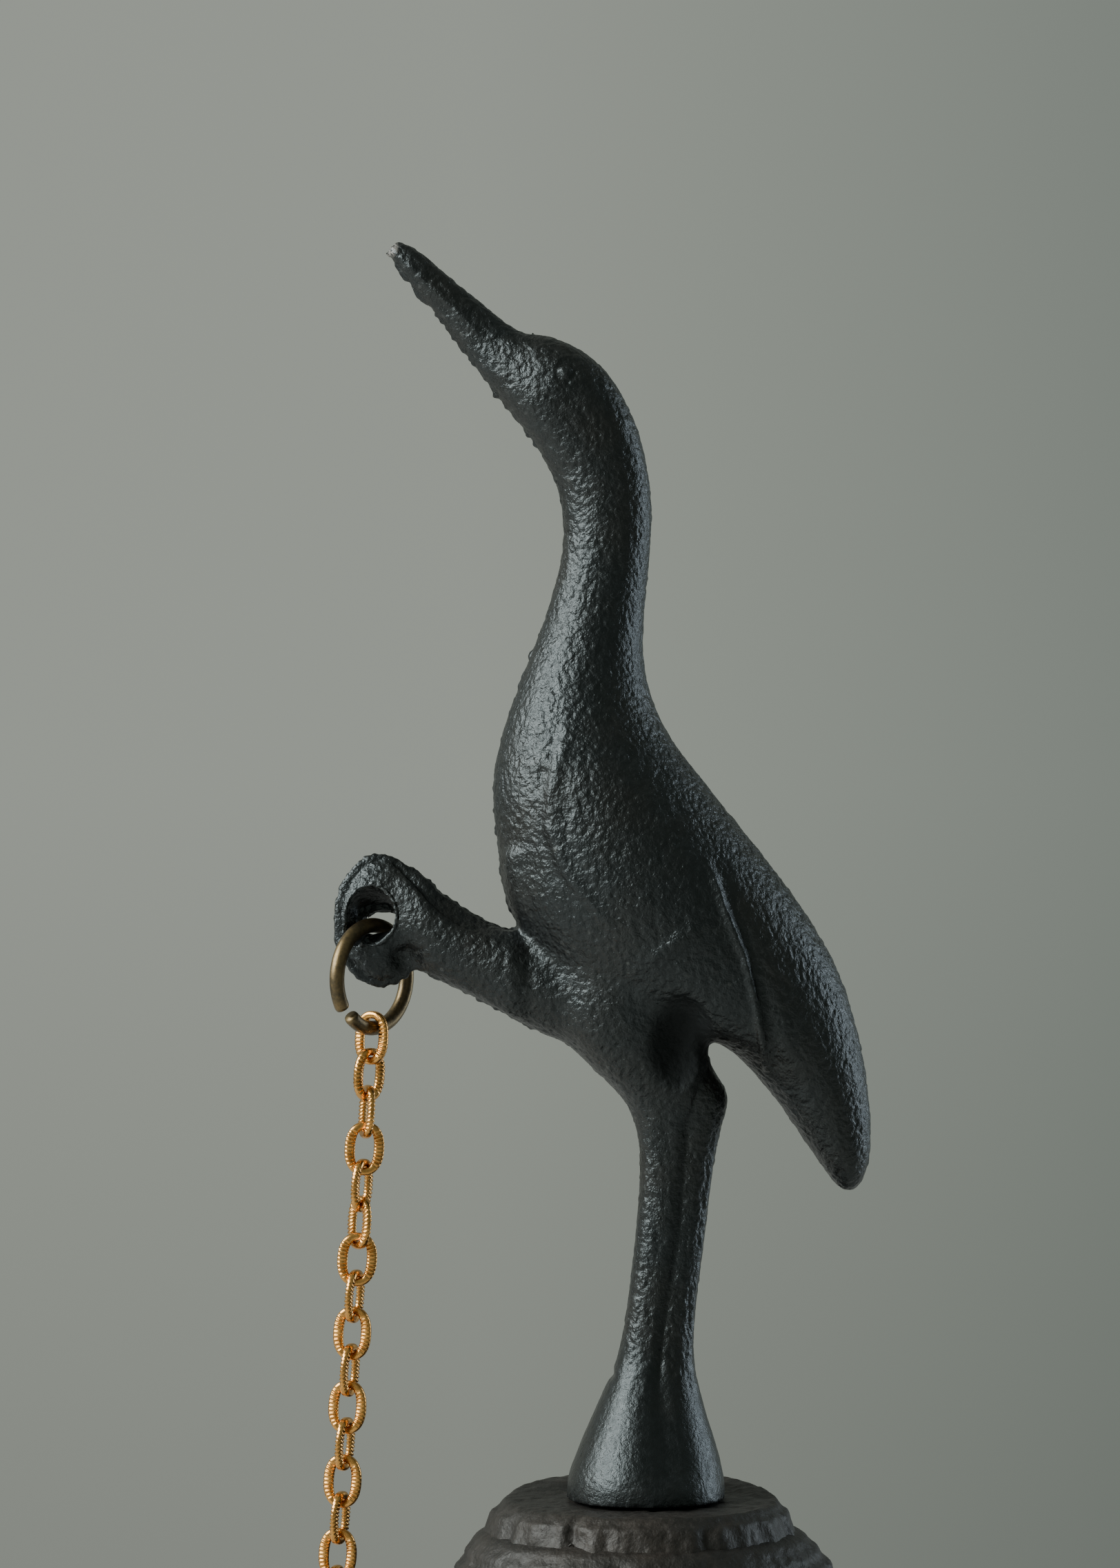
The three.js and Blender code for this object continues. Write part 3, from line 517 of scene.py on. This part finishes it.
def ribbed(name, ribs, powers=None, steps=8, around=56):
    """A body drawn as ribs across it. A power of 2 makes a section an ellipse, a larger one squares it."""
    ribs = np.array(ribs)
    powers = powers or [2.0] * len(ribs)
    front = curve_through(ribs[:, [0, 4, 1]], steps)
    back = curve_through(ribs[:, [2, 4, 3]], steps)
    angle = 2 * np.pi * (np.arange(around) + 0.5) / around
    squash = lambda v: np.sign(v) * np.abs(v) ** (2 / power)
    rings = []
    for i, (f, b) in enumerate(zip(front, back)):
        power = np.interp(i / steps, range(len(powers)), powers)
        across = (1 + squash(np.cos(angle))) / 2
        ring = f + (b - f) * across[:, None]
        ring[:, 1] = f[1] * squash(np.sin(angle))
        ring[:, 2] += LIFT
        rings.append(BELL + ring * MM)
    return facing_out(new_object(name, *skin(rings)))


def ball(name, middle, half, segments=48):
    made = bmesh.new()
    bmesh.ops.create_uvsphere(made, u_segments=segments, v_segments=segments // 2, radius=1)
    for v in made.verts:
        v.co = Vector(BELL + (np.array(middle) + np.array(v.co) * np.array(half)) * MM)
    mesh = bpy.data.meshes.new(name)
    made.to_mesh(mesh)
    made.free()
    obj = bpy.data.objects.new(name, mesh)
    bpy.context.scene.collection.objects.link(obj)
    return obj


def rod(name, x, r, low, high):
    angle = np.linspace(0, 2 * np.pi, 33)[:-1]
    ring = np.stack([x + r * np.cos(angle), r * np.sin(angle), np.zeros(32)], axis=1)
    rings = [BELL + (ring + (0, 0, z)) * MM for z in (low, high)]
    return facing_out(new_object(name, *skin(rings)))


def joined(name, objects):
    """One object holding the meshes of several."""
    whole = bmesh.new()
    for obj in objects:
        whole.from_mesh(obj.data)
    mesh = bpy.data.meshes.new(name)
    whole.to_mesh(mesh)
    whole.free()
    for obj in objects:
        bpy.data.objects.remove(obj)
    made = bpy.data.objects.new(name, mesh)
    bpy.context.scene.collection.objects.link(made)
    return made


def eye_cutter():
    """The eye as in the CAD: it leans sideways, its roof falls to the back and its floor to both faces."""
    angle = np.linspace(0, 2 * np.pi, 49)[:-1]
    rings = []
    for share in np.linspace(-1, 1, 17):
        roof = EYE["roof"] - EYE["tilt"] * (share + 0.25 * max(share, 0))
        floor = -EYE["floor"] - EYE["droop"] * abs(share) ** 1.6
        rings.append(BELL + np.stack([
            EYE["x"] + EYE["lean"] * share + (EYE["wide"] + EYE["flare"] * (abs(share) - 1.6 * max(share, 0)))
            * np.cos(angle),
            np.full(48, EYE["half"] * share),
            EYE["z"] + LIFT + (roof + floor) / 2 + (roof - floor) / 2 * np.sin(angle)], axis=1) * MM)
    return facing_out(new_object("eye_cutter", *skin(rings)))


def ring_path():
    """Room for the ring's wire in the eye."""
    middle = ring_middle()
    yaw = Matrix.Rotation(math.radians(RING_YAW), 3, "Z")
    rings = []
    for i in range(72):
        angle = 2 * math.pi * i / 72
        ring = []
        for j in range(16):
            turn = 2 * math.pi * j / 16
            reach = RING_R + (RING_WIRE + RING_ROOM) * math.cos(turn)
            across = (RING_WIRE + RING_ROOM) * math.sin(turn)
            p = yaw @ Vector((reach * math.cos(angle), across, reach * math.sin(angle)))
            ring.append(middle + np.array(p) * MM)
        rings.append(ring)
    return facing_out(new_object("ring_path", *skin(rings, closed=True)))


def crane_surface(p, n):
    """Everything that the moulder carved on the crane, in mm along the normal."""
    xz = p[:, [0, 2]] - (0, LIFT)
    side = smooth_step((np.abs(n[:, 1]) - 0.15) / 0.45)
    height = np.zeros(len(p))

    dist, hand, where = along_line(xz, WING_RIDGE)
    signed = dist * hand  # towards the back
    taper = smooth_step(where / 0.3) * smooth_step((1 - where) / 0.06)
    height += 0.6 * np.exp(-(dist / 0.5) ** 2) * taper * side
    height -= 0.4 * np.exp(-((signed - 1.5) / 1.0) ** 2) * taper * side

    dist, hand, where = along_line(xz, WING_EDGE)
    signed = dist * hand  # above and behind the edge
    taper = smooth_step(where / 0.25) * smooth_step((1 - where) / 0.55)
    height += 0.4 * smooth_step((signed + 1.2) / 2.4) * np.exp(-dist / 9) * taper * side
    height += 0.36 * np.exp(-(dist / 0.8) ** 2) * taper * side
    height -= 0.12 * np.exp(-((signed - 2.0) / 1.0) ** 2) * taper * side
    height -= 0.25 * smooth_step((1.2 - signed) / 2.4) * np.exp(-dist / 4) * taper * side

    dist, _, where = along_line(xz, THIGH_FOLD)
    height += 0.4 * np.exp(-(dist / 1.1) ** 2) * np.sin(np.pi * np.clip(where, 0.02, 0.98)) * side

    # The back half of the leg lies a step lower than the front half.
    dist, hand, where = along_line(xz, LEG_GROOVE)
    signed = dist * hand  # towards the back
    low_down = smooth_step((20 - xz[:, 1]) / 14)
    begin = smooth_step(where / 0.08 + 0.2) * smooth_step((xz[:, 1] - 1.5) / 4)
    height -= (0.75 * smooth_step((signed + 0.2 + 1.5 * low_down) / (0.9 + 3.5 * low_down))
               * np.exp(-np.clip(signed, 0, 99) / 7) * begin * side)
    height -= (0.3 + 0.25 * low_down) * np.exp(-(dist / (0.55 + 2.0 * low_down)) ** 2) * begin * side
    chip = np.hypot(xz[:, 0] - CHIP[0], xz[:, 1] - CHIP[1])
    height -= 0.5 * np.exp(-(chip / 0.7) ** 2)

    # The raised leg's flat side ends at an edge below its top, and a pocket lies behind the claw.
    dist, hand, where = along_line(xz, CLAW_EDGE)
    signed = dist * hand  # above the edge
    taper = smooth_step(where / 0.15) * smooth_step((1 - where) / 0.25) * smooth_step((7 - dist) / 2.5)
    height -= 0.85 * smooth_step((signed + 0.3) / 1.1) * taper * side
    pocket = np.hypot(xz[:, 0] - CLAW_POCKET[0], xz[:, 1] - CLAW_POCKET[1])
    height -= 1.3 * np.exp(-(pocket / 1.8) ** 2) * side

    on_leg = smooth_step((-15 - xz[:, 0]) / 3) * smooth_step((88 - xz[:, 1]) / 2)
    height += 0.9 * np.clip((xz[:, 0] + 27) / 11, -1, 1) * on_leg * side

    dist, _, where = along_line(xz, BEAK_LINE)
    height += 0.25 * np.exp(-(dist / 0.5) ** 2) * side

    eye = np.hypot(*(xz - BIRD_EYE).T)
    specks = 1 + 0.6 * noise(p, 0.45, 81)
    height += (0.4 * np.sqrt(np.clip(1 - (eye / 0.85) ** 2, 0, 1)) * specks
               - 0.16 * np.exp(-((eye - 1.25) / 0.3) ** 2)) * side
    crater = np.hypot((xz[:, 0] - CRATER[0]) / 1.5, xz[:, 1] - CRATER[1])
    height -= 0.25 * np.exp(-(crater / 0.5) ** 4) * side

    # The mould's parting line: a broken fin along the middle, heaviest under the beak and on the raised leg.
    seam = np.exp(-(p[:, 1] / 0.4) ** 2)
    ragged = 0.35 + 0.7 * noise(p, 1.1, 71) + 0.4 * noise(p, 0.6, 72)
    heavy = (xz[:, 0] < -14) * (0.5 + 0.5 * (xz[:, 1] > 140))
    beak_top = (xz[:, 0] < -15) & (xz[:, 1] > 140) & (n[:, 2] > 0)
    height += (0.45 * seam * np.clip(ragged, 0, 1) * smooth_step((xz[:, 1] - 18) / 6) * (0.25 + heavy)
               * (1 - side) * (1 - beak_top))

    foot = smooth_step((20 - xz[:, 1]) / 8)
    grain = 0.19 * (1 - 0.7 * foot)
    pebbles = 0.5 * noise(p, 0.6, 13) + 0.5 * noise(p, 0.42, 14)
    lumps = 0.5 * noise(p, 3.4, 11) + 0.5 * noise(p, 1.9, 12)
    return height + 0.05 * lumps - grain * np.clip(0.25 - pebbles, 0, 1.3)


def ease_union(obj):
    """Flows the trunk and both legs into one another, most where they meet."""
    at = (coordinates(obj.data) - BELL) / MM
    near = np.hypot((at[:, 0] + 6) / 17, (at[:, 2] - 66) / 14)
    share = smooth_step((1.15 - near) / 0.5)
    ease_where(obj, "whole", np.ones(len(at)), 6)
    ease_where(obj, "joins", share, 45)


def soften_eye(obj):
    """Rounds the mouths of the eye in the raised foot."""
    at = (coordinates(obj.data) - BELL) / MM
    near = np.hypot(at[:, 0] - EYE["x"], at[:, 2] - EYE["z"] - LIFT)
    ease_where(obj, "mouths", smooth_step((7.5 - near) / 2), 9)


def build_crane():
    parts = [
        ribbed("trunk", TRUNK, [2.0] * 4 + [2.5] * 6 + [2.2] * 3 + [2.0] * 13),
        ribbed("raised_leg", RAISED_LEG),
        ribbed("standing_leg", STANDING_LEG, LEG_POWERS),
        ball("claw", np.add(CLAW["middle"], (0, 0, LIFT)), CLAW["half"]),
    ]
    crane = joined("crane_casting", parts)
    remesh(crane, 0.6, 0)
    caves = [(CAVE[0], hand * CAVE_Y, CAVE[1] + LIFT) for hand in (-1, 1)]
    cut_away(crane, [ball("cave_cutter", middle, CAVE_HALF) for middle in caves])
    ease_union(crane)
    cutters = [eye_cutter(), ring_path()]
    cutters.append(rod("stud_cutter", 0, 3.3, -2, 16))
    cutters.append(rod("pin_cutter", 7.2, 1.8, -2, 6))
    cutters.append(rod("under_the_foot", 0, 30, -9, LIFT))
    cut_away(crane, cutters)
    remesh(crane, 0.27, 3)
    soften_eye(crane)
    weather(crane, "crane", crane_surface)
    stand_for(crane, ["crane"], "bell", black_iron)


build_crane()


# ---------------------------------------------------------------- bell and bracket
def round_off(obj, facets, reach_mm, below_mm):
    """Makes a turned shape truly round again where the CAD draws it as a many-sided prism."""
    at = coordinates(obj.data)
    rel = (at - BELL) / MM
    r = np.hypot(rel[:, 0], rel[:, 1])
    step = 2 * np.pi / facets
    turn = np.arctan2(rel[:, 1], rel[:, 0]) % step - step / 2
    swell = np.cos(turn) / math.cos(step / 2)
    here = (r < reach_mm) & (rel[:, 2] > below_mm)
    at[here, :2] = BELL[:2] + (at[here, :2] - BELL[:2]) * swell[here, None]
    put_back(obj.data, at)


def bell_surface(p, n):
    r = np.hypot(p[:, 0], p[:, 1])
    inside = (n[:, 0] * p[:, 0] + n[:, 1] * p[:, 1]) / np.maximum(r, 1) < -0.2
    crown = smooth_step((p[:, 2] + 5.5) / 1.5)  # the crown stays close to the boss
    steps = 0.5 * np.exp(-((p[:, 2] + 7.2) / 0.7) ** 2) + 0.4 * np.exp(-((p[:, 2] + 9.8) / 0.8) ** 2)
    blobs = 0.35 * np.clip(noise(p, 1.5, 33), -1, 0.4) * smooth_step((p[:, 2] + 12) / 3)
    return (cast_grain(p, 31, 0.45, 0.18) - steps + blobs - 0.14) * np.where(inside, 0.8, 1) * (1 - crown)


def build_bell():
    bell = copy_of("bell_body", "bell_casting")
    remesh(bell, 0.55, 2)
    round_off(bell, 40, 60, -200)
    weather(bell, "bell_body", bell_surface)
    draw_in_shoulder(bell)
    stand_for(bell, ["bell_body"], "bell", brown_iron)


def bracket_surface(p, n):
    """A rough boss with a lumpy side and a notch at its front left; the plate's back stays flat."""
    on_wall = smooth_step((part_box("wall_bracket")[1][1] - BELL[1]) / MM - 1.2 - p[:, 1])
    r = np.hypot(p[:, 0], p[:, 1])
    boss = (r < 22.5) & (p[:, 2] > -3.6)
    edge = boss * smooth_step((r - 18.5) / 1.5) * smooth_step((-p[:, 2] - 0.2) / 0.8)
    lumps = 0.7 * noise(p, 2.2, 51) + 0.5 * noise(p, 1.2, 52)
    height = np.where(boss, -0.12 - 0.14 * noise(p, 1.1, 54), cast_grain(p, 53, 0.45, 0.2))
    height += edge * 0.6 * lumps
    around = np.arctan2(p[:, 1], p[:, 0])
    notch = np.exp(-((around - math.radians(-118)) * 20 / 0.7) ** 2) * boss * smooth_step((r - 17) / 3)
    height -= 0.9 * notch
    return height * on_wall


# How far the boss's edge and the bell's shoulder are moved, in mm.
RIM_IN = 0.7
LIP_OUT = 1.0
LIP_DROP = 2.0
EDGE_DROP = 0.5
FOOT_SWELL = 1.3
BOSS_LEAN = 0.45
SHOULDER_IN = 1.0
SHOULDER_LEAN = 0.35
SHOULDER_DROP = 0.35


def settle_boss(obj):
    """Gives the boss a soft edge, a swell behind the foot, and a flare that closes onto the bell's crown."""
    at = coordinates(obj.data)
    rel = (at - BELL) / MM
    r = np.hypot(rel[:, 0], rel[:, 1])
    z = rel[:, 2]
    in_boss = smooth_step((26 - r) / 4) * (z > -4.5)
    rim = smooth_step((r - 17) / 3) * in_boss
    top = smooth_step((z + 1.6) / 1.2)
    low = smooth_step((-1.7 - z) / 1.6)
    outward = (-RIM_IN + LIP_OUT * low ** 2 - 0.15 * top) * rim
    edge_and_lip = -EDGE_DROP * top * smooth_step((r - 19) / 1.6) - LIP_DROP * low
    drop = edge_and_lip * in_boss * smooth_step((r - 14) / 2)
    swell = FOOT_SWELL * smooth_step(rel[:, 1] / 16) * smooth_step((r - 11.8) / 3.5) * top * in_boss
    at[:, :2] += rel[:, :2] / np.maximum(r, 1)[:, None] * (outward * MM)[:, None]
    at[:, 0] -= BOSS_LEAN * MM * rim
    at[:, 2] += (drop + swell) * MM
    put_back(obj.data, at)
    ease_where(obj, "rim", np.where(z < -5, 0, rim), 4)


def draw_in_shoulder(obj):
    """Draws the bell's crown edge in under the boss."""
    at = coordinates(obj.data)
    rel = (at - BELL) / MM
    r = np.hypot(rel[:, 0], rel[:, 1])
    share = smooth_step((rel[:, 2] + 9) / 5) * smooth_step((r - 17) / 3)
    at[:, :2] -= rel[:, :2] / np.maximum(r, 1)[:, None] * (SHOULDER_IN * share * MM)[:, None]
    at[:, 0] -= SHOULDER_LEAN * share * MM
    at[:, 2] -= SHOULDER_DROP * MM * smooth_step((rel[:, 2] + 5.5) / 1.5) * smooth_step((r - 20) / 2)
    put_back(obj.data, at)


def build_bracket():
    bracket = copy_of("wall_bracket", "bracket_casting")
    remesh(bracket, 0.5, 3)
    round_off(bracket, 40, 22, -3.5)
    weather(bracket, "wall_bracket", bracket_surface)
    settle_boss(bracket)
    stand_for(bracket, ["wall_bracket"], "bell", brown_iron)


build_bell()
build_bracket()


# ---------------------------------------------------------------- ring and chain
def axes_of(node):
    """Middle of a CAD node and its long, wide and thin directions."""
    at = coordinates(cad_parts[node].data)
    low, high = (np.array(c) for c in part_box(node))
    middle = at.mean(axis=0)
    _, _, axes = np.linalg.svd(np.unique(np.round(at - middle, 7), axis=0), full_matrices=False)
    return (low + high) / 2, axes


def build_ring():
    middle = ring_middle()
    yaw = Matrix.Rotation(math.radians(RING_YAW), 3, "Z")
    start = RING_GAP_AT + RING_GAP / 2
    rings = []
    steps = 120
    for i in range(steps + 1):
        share = i / steps
        angle = math.radians(start + (360 - RING_GAP) * share)
        radius = RING_WIRE * (0.9 if i in (0, steps) else 1)
        sprung = RING_SPRUNG * (2 * abs(share - 0.5)) ** 4 * (1 if share > 0.5 else -1)
        ring = []
        for j in range(20):
            turn = 2 * math.pi * j / 20
            reach = RING_R + radius * math.cos(turn)
            p = yaw @ Vector((reach * math.cos(angle), sprung + radius * math.sin(turn), reach * math.sin(angle)))
            ring.append(middle + np.array(p) * MM)
        rings.append(ring)
    ring = facing_out(new_object("open_ring", *skin(rings)))
    stand_for(ring, ["jump_ring"], "ring", old_brass)


LINK = {"span": 6.2, "width": 5.35, "wire": 1.05, "side": 1.4, "flat": 1.1, "oval": 2.4}
RIB_PITCH = 0.5
RIB_DEPTH = 0.2  # the grooves between the ribs are cut in by this
RIBS_REACH = 2.5  # the sides are ribbed this far up and down from the middle


def link_mesh():
    """One oval link about its middle: long on Z, wide on X. The sides are flattened and ribbed across."""
    steps, around = 240, 16
    half_wide = (LINK["width"] - LINK["side"]) / 2
    half_tall = LINK["span"] / 2
    squash = lambda v: math.copysign(abs(v) ** (2 / LINK["oval"]), v)
    rings = []
    for i in range(steps):
        angle = 2 * math.pi * i / steps
        x = half_wide * squash(math.cos(angle))
        z = half_tall * squash(math.sin(angle))
        out = Vector((math.cos(angle) / half_wide, 0, math.sin(angle) / half_tall)).normalized()
        deep = LINK["wire"] + (LINK["side"] - LINK["wire"]) * math.cos(angle) ** 2
        on_side = float(smooth_step(np.array((RIBS_REACH - abs(z)) / 0.5)))
        rib = (0.5 - 0.5 * math.cos(2 * math.pi * z / RIB_PITCH)) ** 2.2
        ring = []
        for j in range(around):
            turn = 2 * math.pi * (j + 0.5) / around
            c, s = math.cos(turn), math.sin(turn)
            radial = math.copysign(abs(c) ** 0.75, c) * deep / 2
            face = math.copysign(abs(s) ** 0.75, s) * LINK["flat"] / 2
            cut = RIB_DEPTH * rib * on_side * smooth_step(np.array((abs(s) - 0.25) / 0.4))
            face -= math.copysign(float(cut), s)
            ring.append(Vector((x, 0, z)) + out * radial + Vector((0, face, 0)))
        rings.append([p * MM for p in ring])
    made = facing_out(new_object("link_pattern", *skin(rings, closed=True)))
    mesh = made.data
    bpy.data.objects.remove(made)
    return mesh


def build_chain():
    pattern = link_mesh()
    pattern.materials.append(gold_brass)
    links = sorted(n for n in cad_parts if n.startswith("chain_link_"))
    for node in links:
        middle, axes = axes_of(node)
        long_way, wide_way = Vector(axes[0]), Vector(axes[1])
        if long_way.z < 0:
            long_way.negate()
        if wide_way.x < 0:
            wide_way.negate()
        thin_way = long_way.cross(wide_way).normalized()
        place = Matrix((wide_way, thin_way, long_way)).transposed().to_4x4()
        place.translation = Vector(middle)
        obj = bpy.data.objects.new(node.replace("chain_", "ribbed_"), pattern)
        bpy.context.scene.collection.objects.link(obj)
        obj.matrix_world = place
        body = node.replace("chain_", "")
        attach(obj, body)
        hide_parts(node)


build_ring()
build_chain()


# ---------------------------------------------------------------- striker and fittings
def build_striker():
    finishes = {
        "striker_rod": (0.25, 3, "black_iron", black_iron),
        "striker_grip": (0.35, 12, "dark_wood", oiled_hardwood),
        "striker_ferrule": (0.2, 2, "aged_brass", old_brass),
        "striker_ball": (0.35, 14, "black_iron", black_iron),
    }
    for node, (voxel, smoothing, slot, finish) in finishes.items():
        piece = copy_of(node, node + "_finished")
        remesh(piece, voxel, smoothing)
        if finish is black_iron:
            weather(piece, node, lambda p, n: cast_grain(p, 61, 0.05, 0.05))
        stand_for(piece, [node], "striker", finish)


def dress_fittings():
    finishes = {
        "crane_stud": steel, "locating_pin": steel, "steel_washer": steel, "crown_nut": steel, "lock_nut": steel,
        "top_leather_washer": harness_leather, "lower_leather_washer": harness_leather,
    }
    for node, finish in finishes.items():
        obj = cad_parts[node]
        obj.data.materials.clear()
        obj.data.materials.append(finish)
        soften = obj.modifiers.new("soft_edges", "BEVEL")
        soften.width = 0.12 * MM
        soften.segments = 2
        soften.limit_method = "ANGLE"
        soften.angle_limit = math.radians(35)


build_striker()
dress_fittings()

# ---------------------------------------------------------------- stage, light and camera
FLOOR_DROP = 60  # mm below the lowest piece
FLOOR_R = 1.25


def build_stage():
    lowest = cad_box[0][2] - FLOOR_DROP * MM
    angle = np.linspace(0, 2 * np.pi, 97)[:-1]
    ring = [(FLOOR_R * math.cos(a), BELL[1] + FLOOR_R * math.sin(a), lowest) for a in angle]
    floor = new_object("floor", ring, [tuple(range(96))])
    made, tree, shader, place = material("pale_floor")
    mottle = grain_node(tree, place, 60, 3)
    tree.links.new(ramp(tree, mottle.outputs["Fac"], [(0.3, (0.46, 0.45, 0.43)), (0.7, (0.5, 0.49, 0.465))]),
                   shader.inputs["Base Color"])
    shader.inputs["Roughness"].default_value = 0.8
    floor.data.materials.append(made)

    world = bpy.data.worlds.new("studio")
    bpy.context.scene.world = world
    world.use_nodes = True
    tree = world.node_tree
    back = next(n for n in tree.nodes if n.type == "BACKGROUND")
    place = tree.nodes.new("ShaderNodeTexCoord").outputs["Generated"]
    split = tree.nodes.new("ShaderNodeSeparateXYZ")
    tree.links.new(place, split.inputs["Vector"])
    sideways = tree.nodes.new("ShaderNodeMapRange")
    sideways.inputs["From Min"].default_value = -0.11
    sideways.inputs["From Max"].default_value = 0.11
    tree.links.new(split.outputs["X"], sideways.inputs["Value"])
    shade = ramp(tree, sideways.outputs["Result"], [
        (0.0, (0.322, 0.345, 0.305)), (0.42, (0.312, 0.336, 0.297)), (1.0, (0.21, 0.236, 0.208))])
    upward = tree.nodes.new("ShaderNodeMapRange")
    upward.inputs["From Min"].default_value = -0.16
    upward.inputs["From Max"].default_value = 0.0
    tree.links.new(split.outputs["Z"], upward.inputs["Value"])
    low = ramp(tree, upward.outputs["Result"], [(0.0, grey(0.74)), (1.0, grey(1.0))])
    tree.links.new(blend(tree, 1.0, shade, low, "MULTIPLY"), back.inputs["Color"])
    back.inputs["Strength"].default_value = 1.0


def area_light(name, place, target, size, colour, watts):
    data = bpy.data.lights.new(name, "AREA")
    data.shape = "RECTANGLE"
    data.size, data.size_y = size
    data.color = colour
    data.energy = watts
    lamp = bpy.data.objects.new(name, data)
    bpy.context.scene.collection.objects.link(lamp)
    lamp.location = Vector(place)
    lamp.rotation_euler = (Vector(target) - lamp.location).to_track_quat("-Z", "Y").to_euler()


def around_bell(azimuth, distance, height):
    """A point at that many degrees left of the camera's side, metres from the axis."""
    turn = math.radians(azimuth)
    return BELL + (-distance * math.sin(turn), -distance * math.cos(turn), height)


build_stage()
middle = BELL + (0, 0, 0.08)
area_light("key_left", around_bell(74, 1.0, 0.6), middle, (1.0, 0.7), (0.97, 1.0, 0.99), 25)
area_light("fill_front", around_bell(46, 1.1, 0.6), middle, (0.4, 0.3), (0.97, 1.0, 0.98), 2.2)
area_light("rim_right", around_bell(-115, 1.1, 0.2), middle, (0.25, 0.8), (0.78, 0.89, 1.0), 4.2)

IMAGE_HEIGHT_MM = 210.6  # height of the view at the bell's axis
CAMERA_DISTANCE = 0.690
SENSOR_MM = 36
camera_data = bpy.data.cameras.new("camera")
camera = bpy.data.objects.new("camera", camera_data)
bpy.context.scene.collection.objects.link(camera)
camera.location = Vector(BELL + (-11.2 * MM, -CAMERA_DISTANCE, 96 * MM))
camera.rotation_euler = (math.radians(90), 0, 0)
camera_data.sensor_width = SENSOR_MM
camera_data.lens = SENSOR_MM * CAMERA_DISTANCE / (IMAGE_HEIGHT_MM * MM)
camera_data.clip_start = 0.01
bpy.context.scene.camera = camera
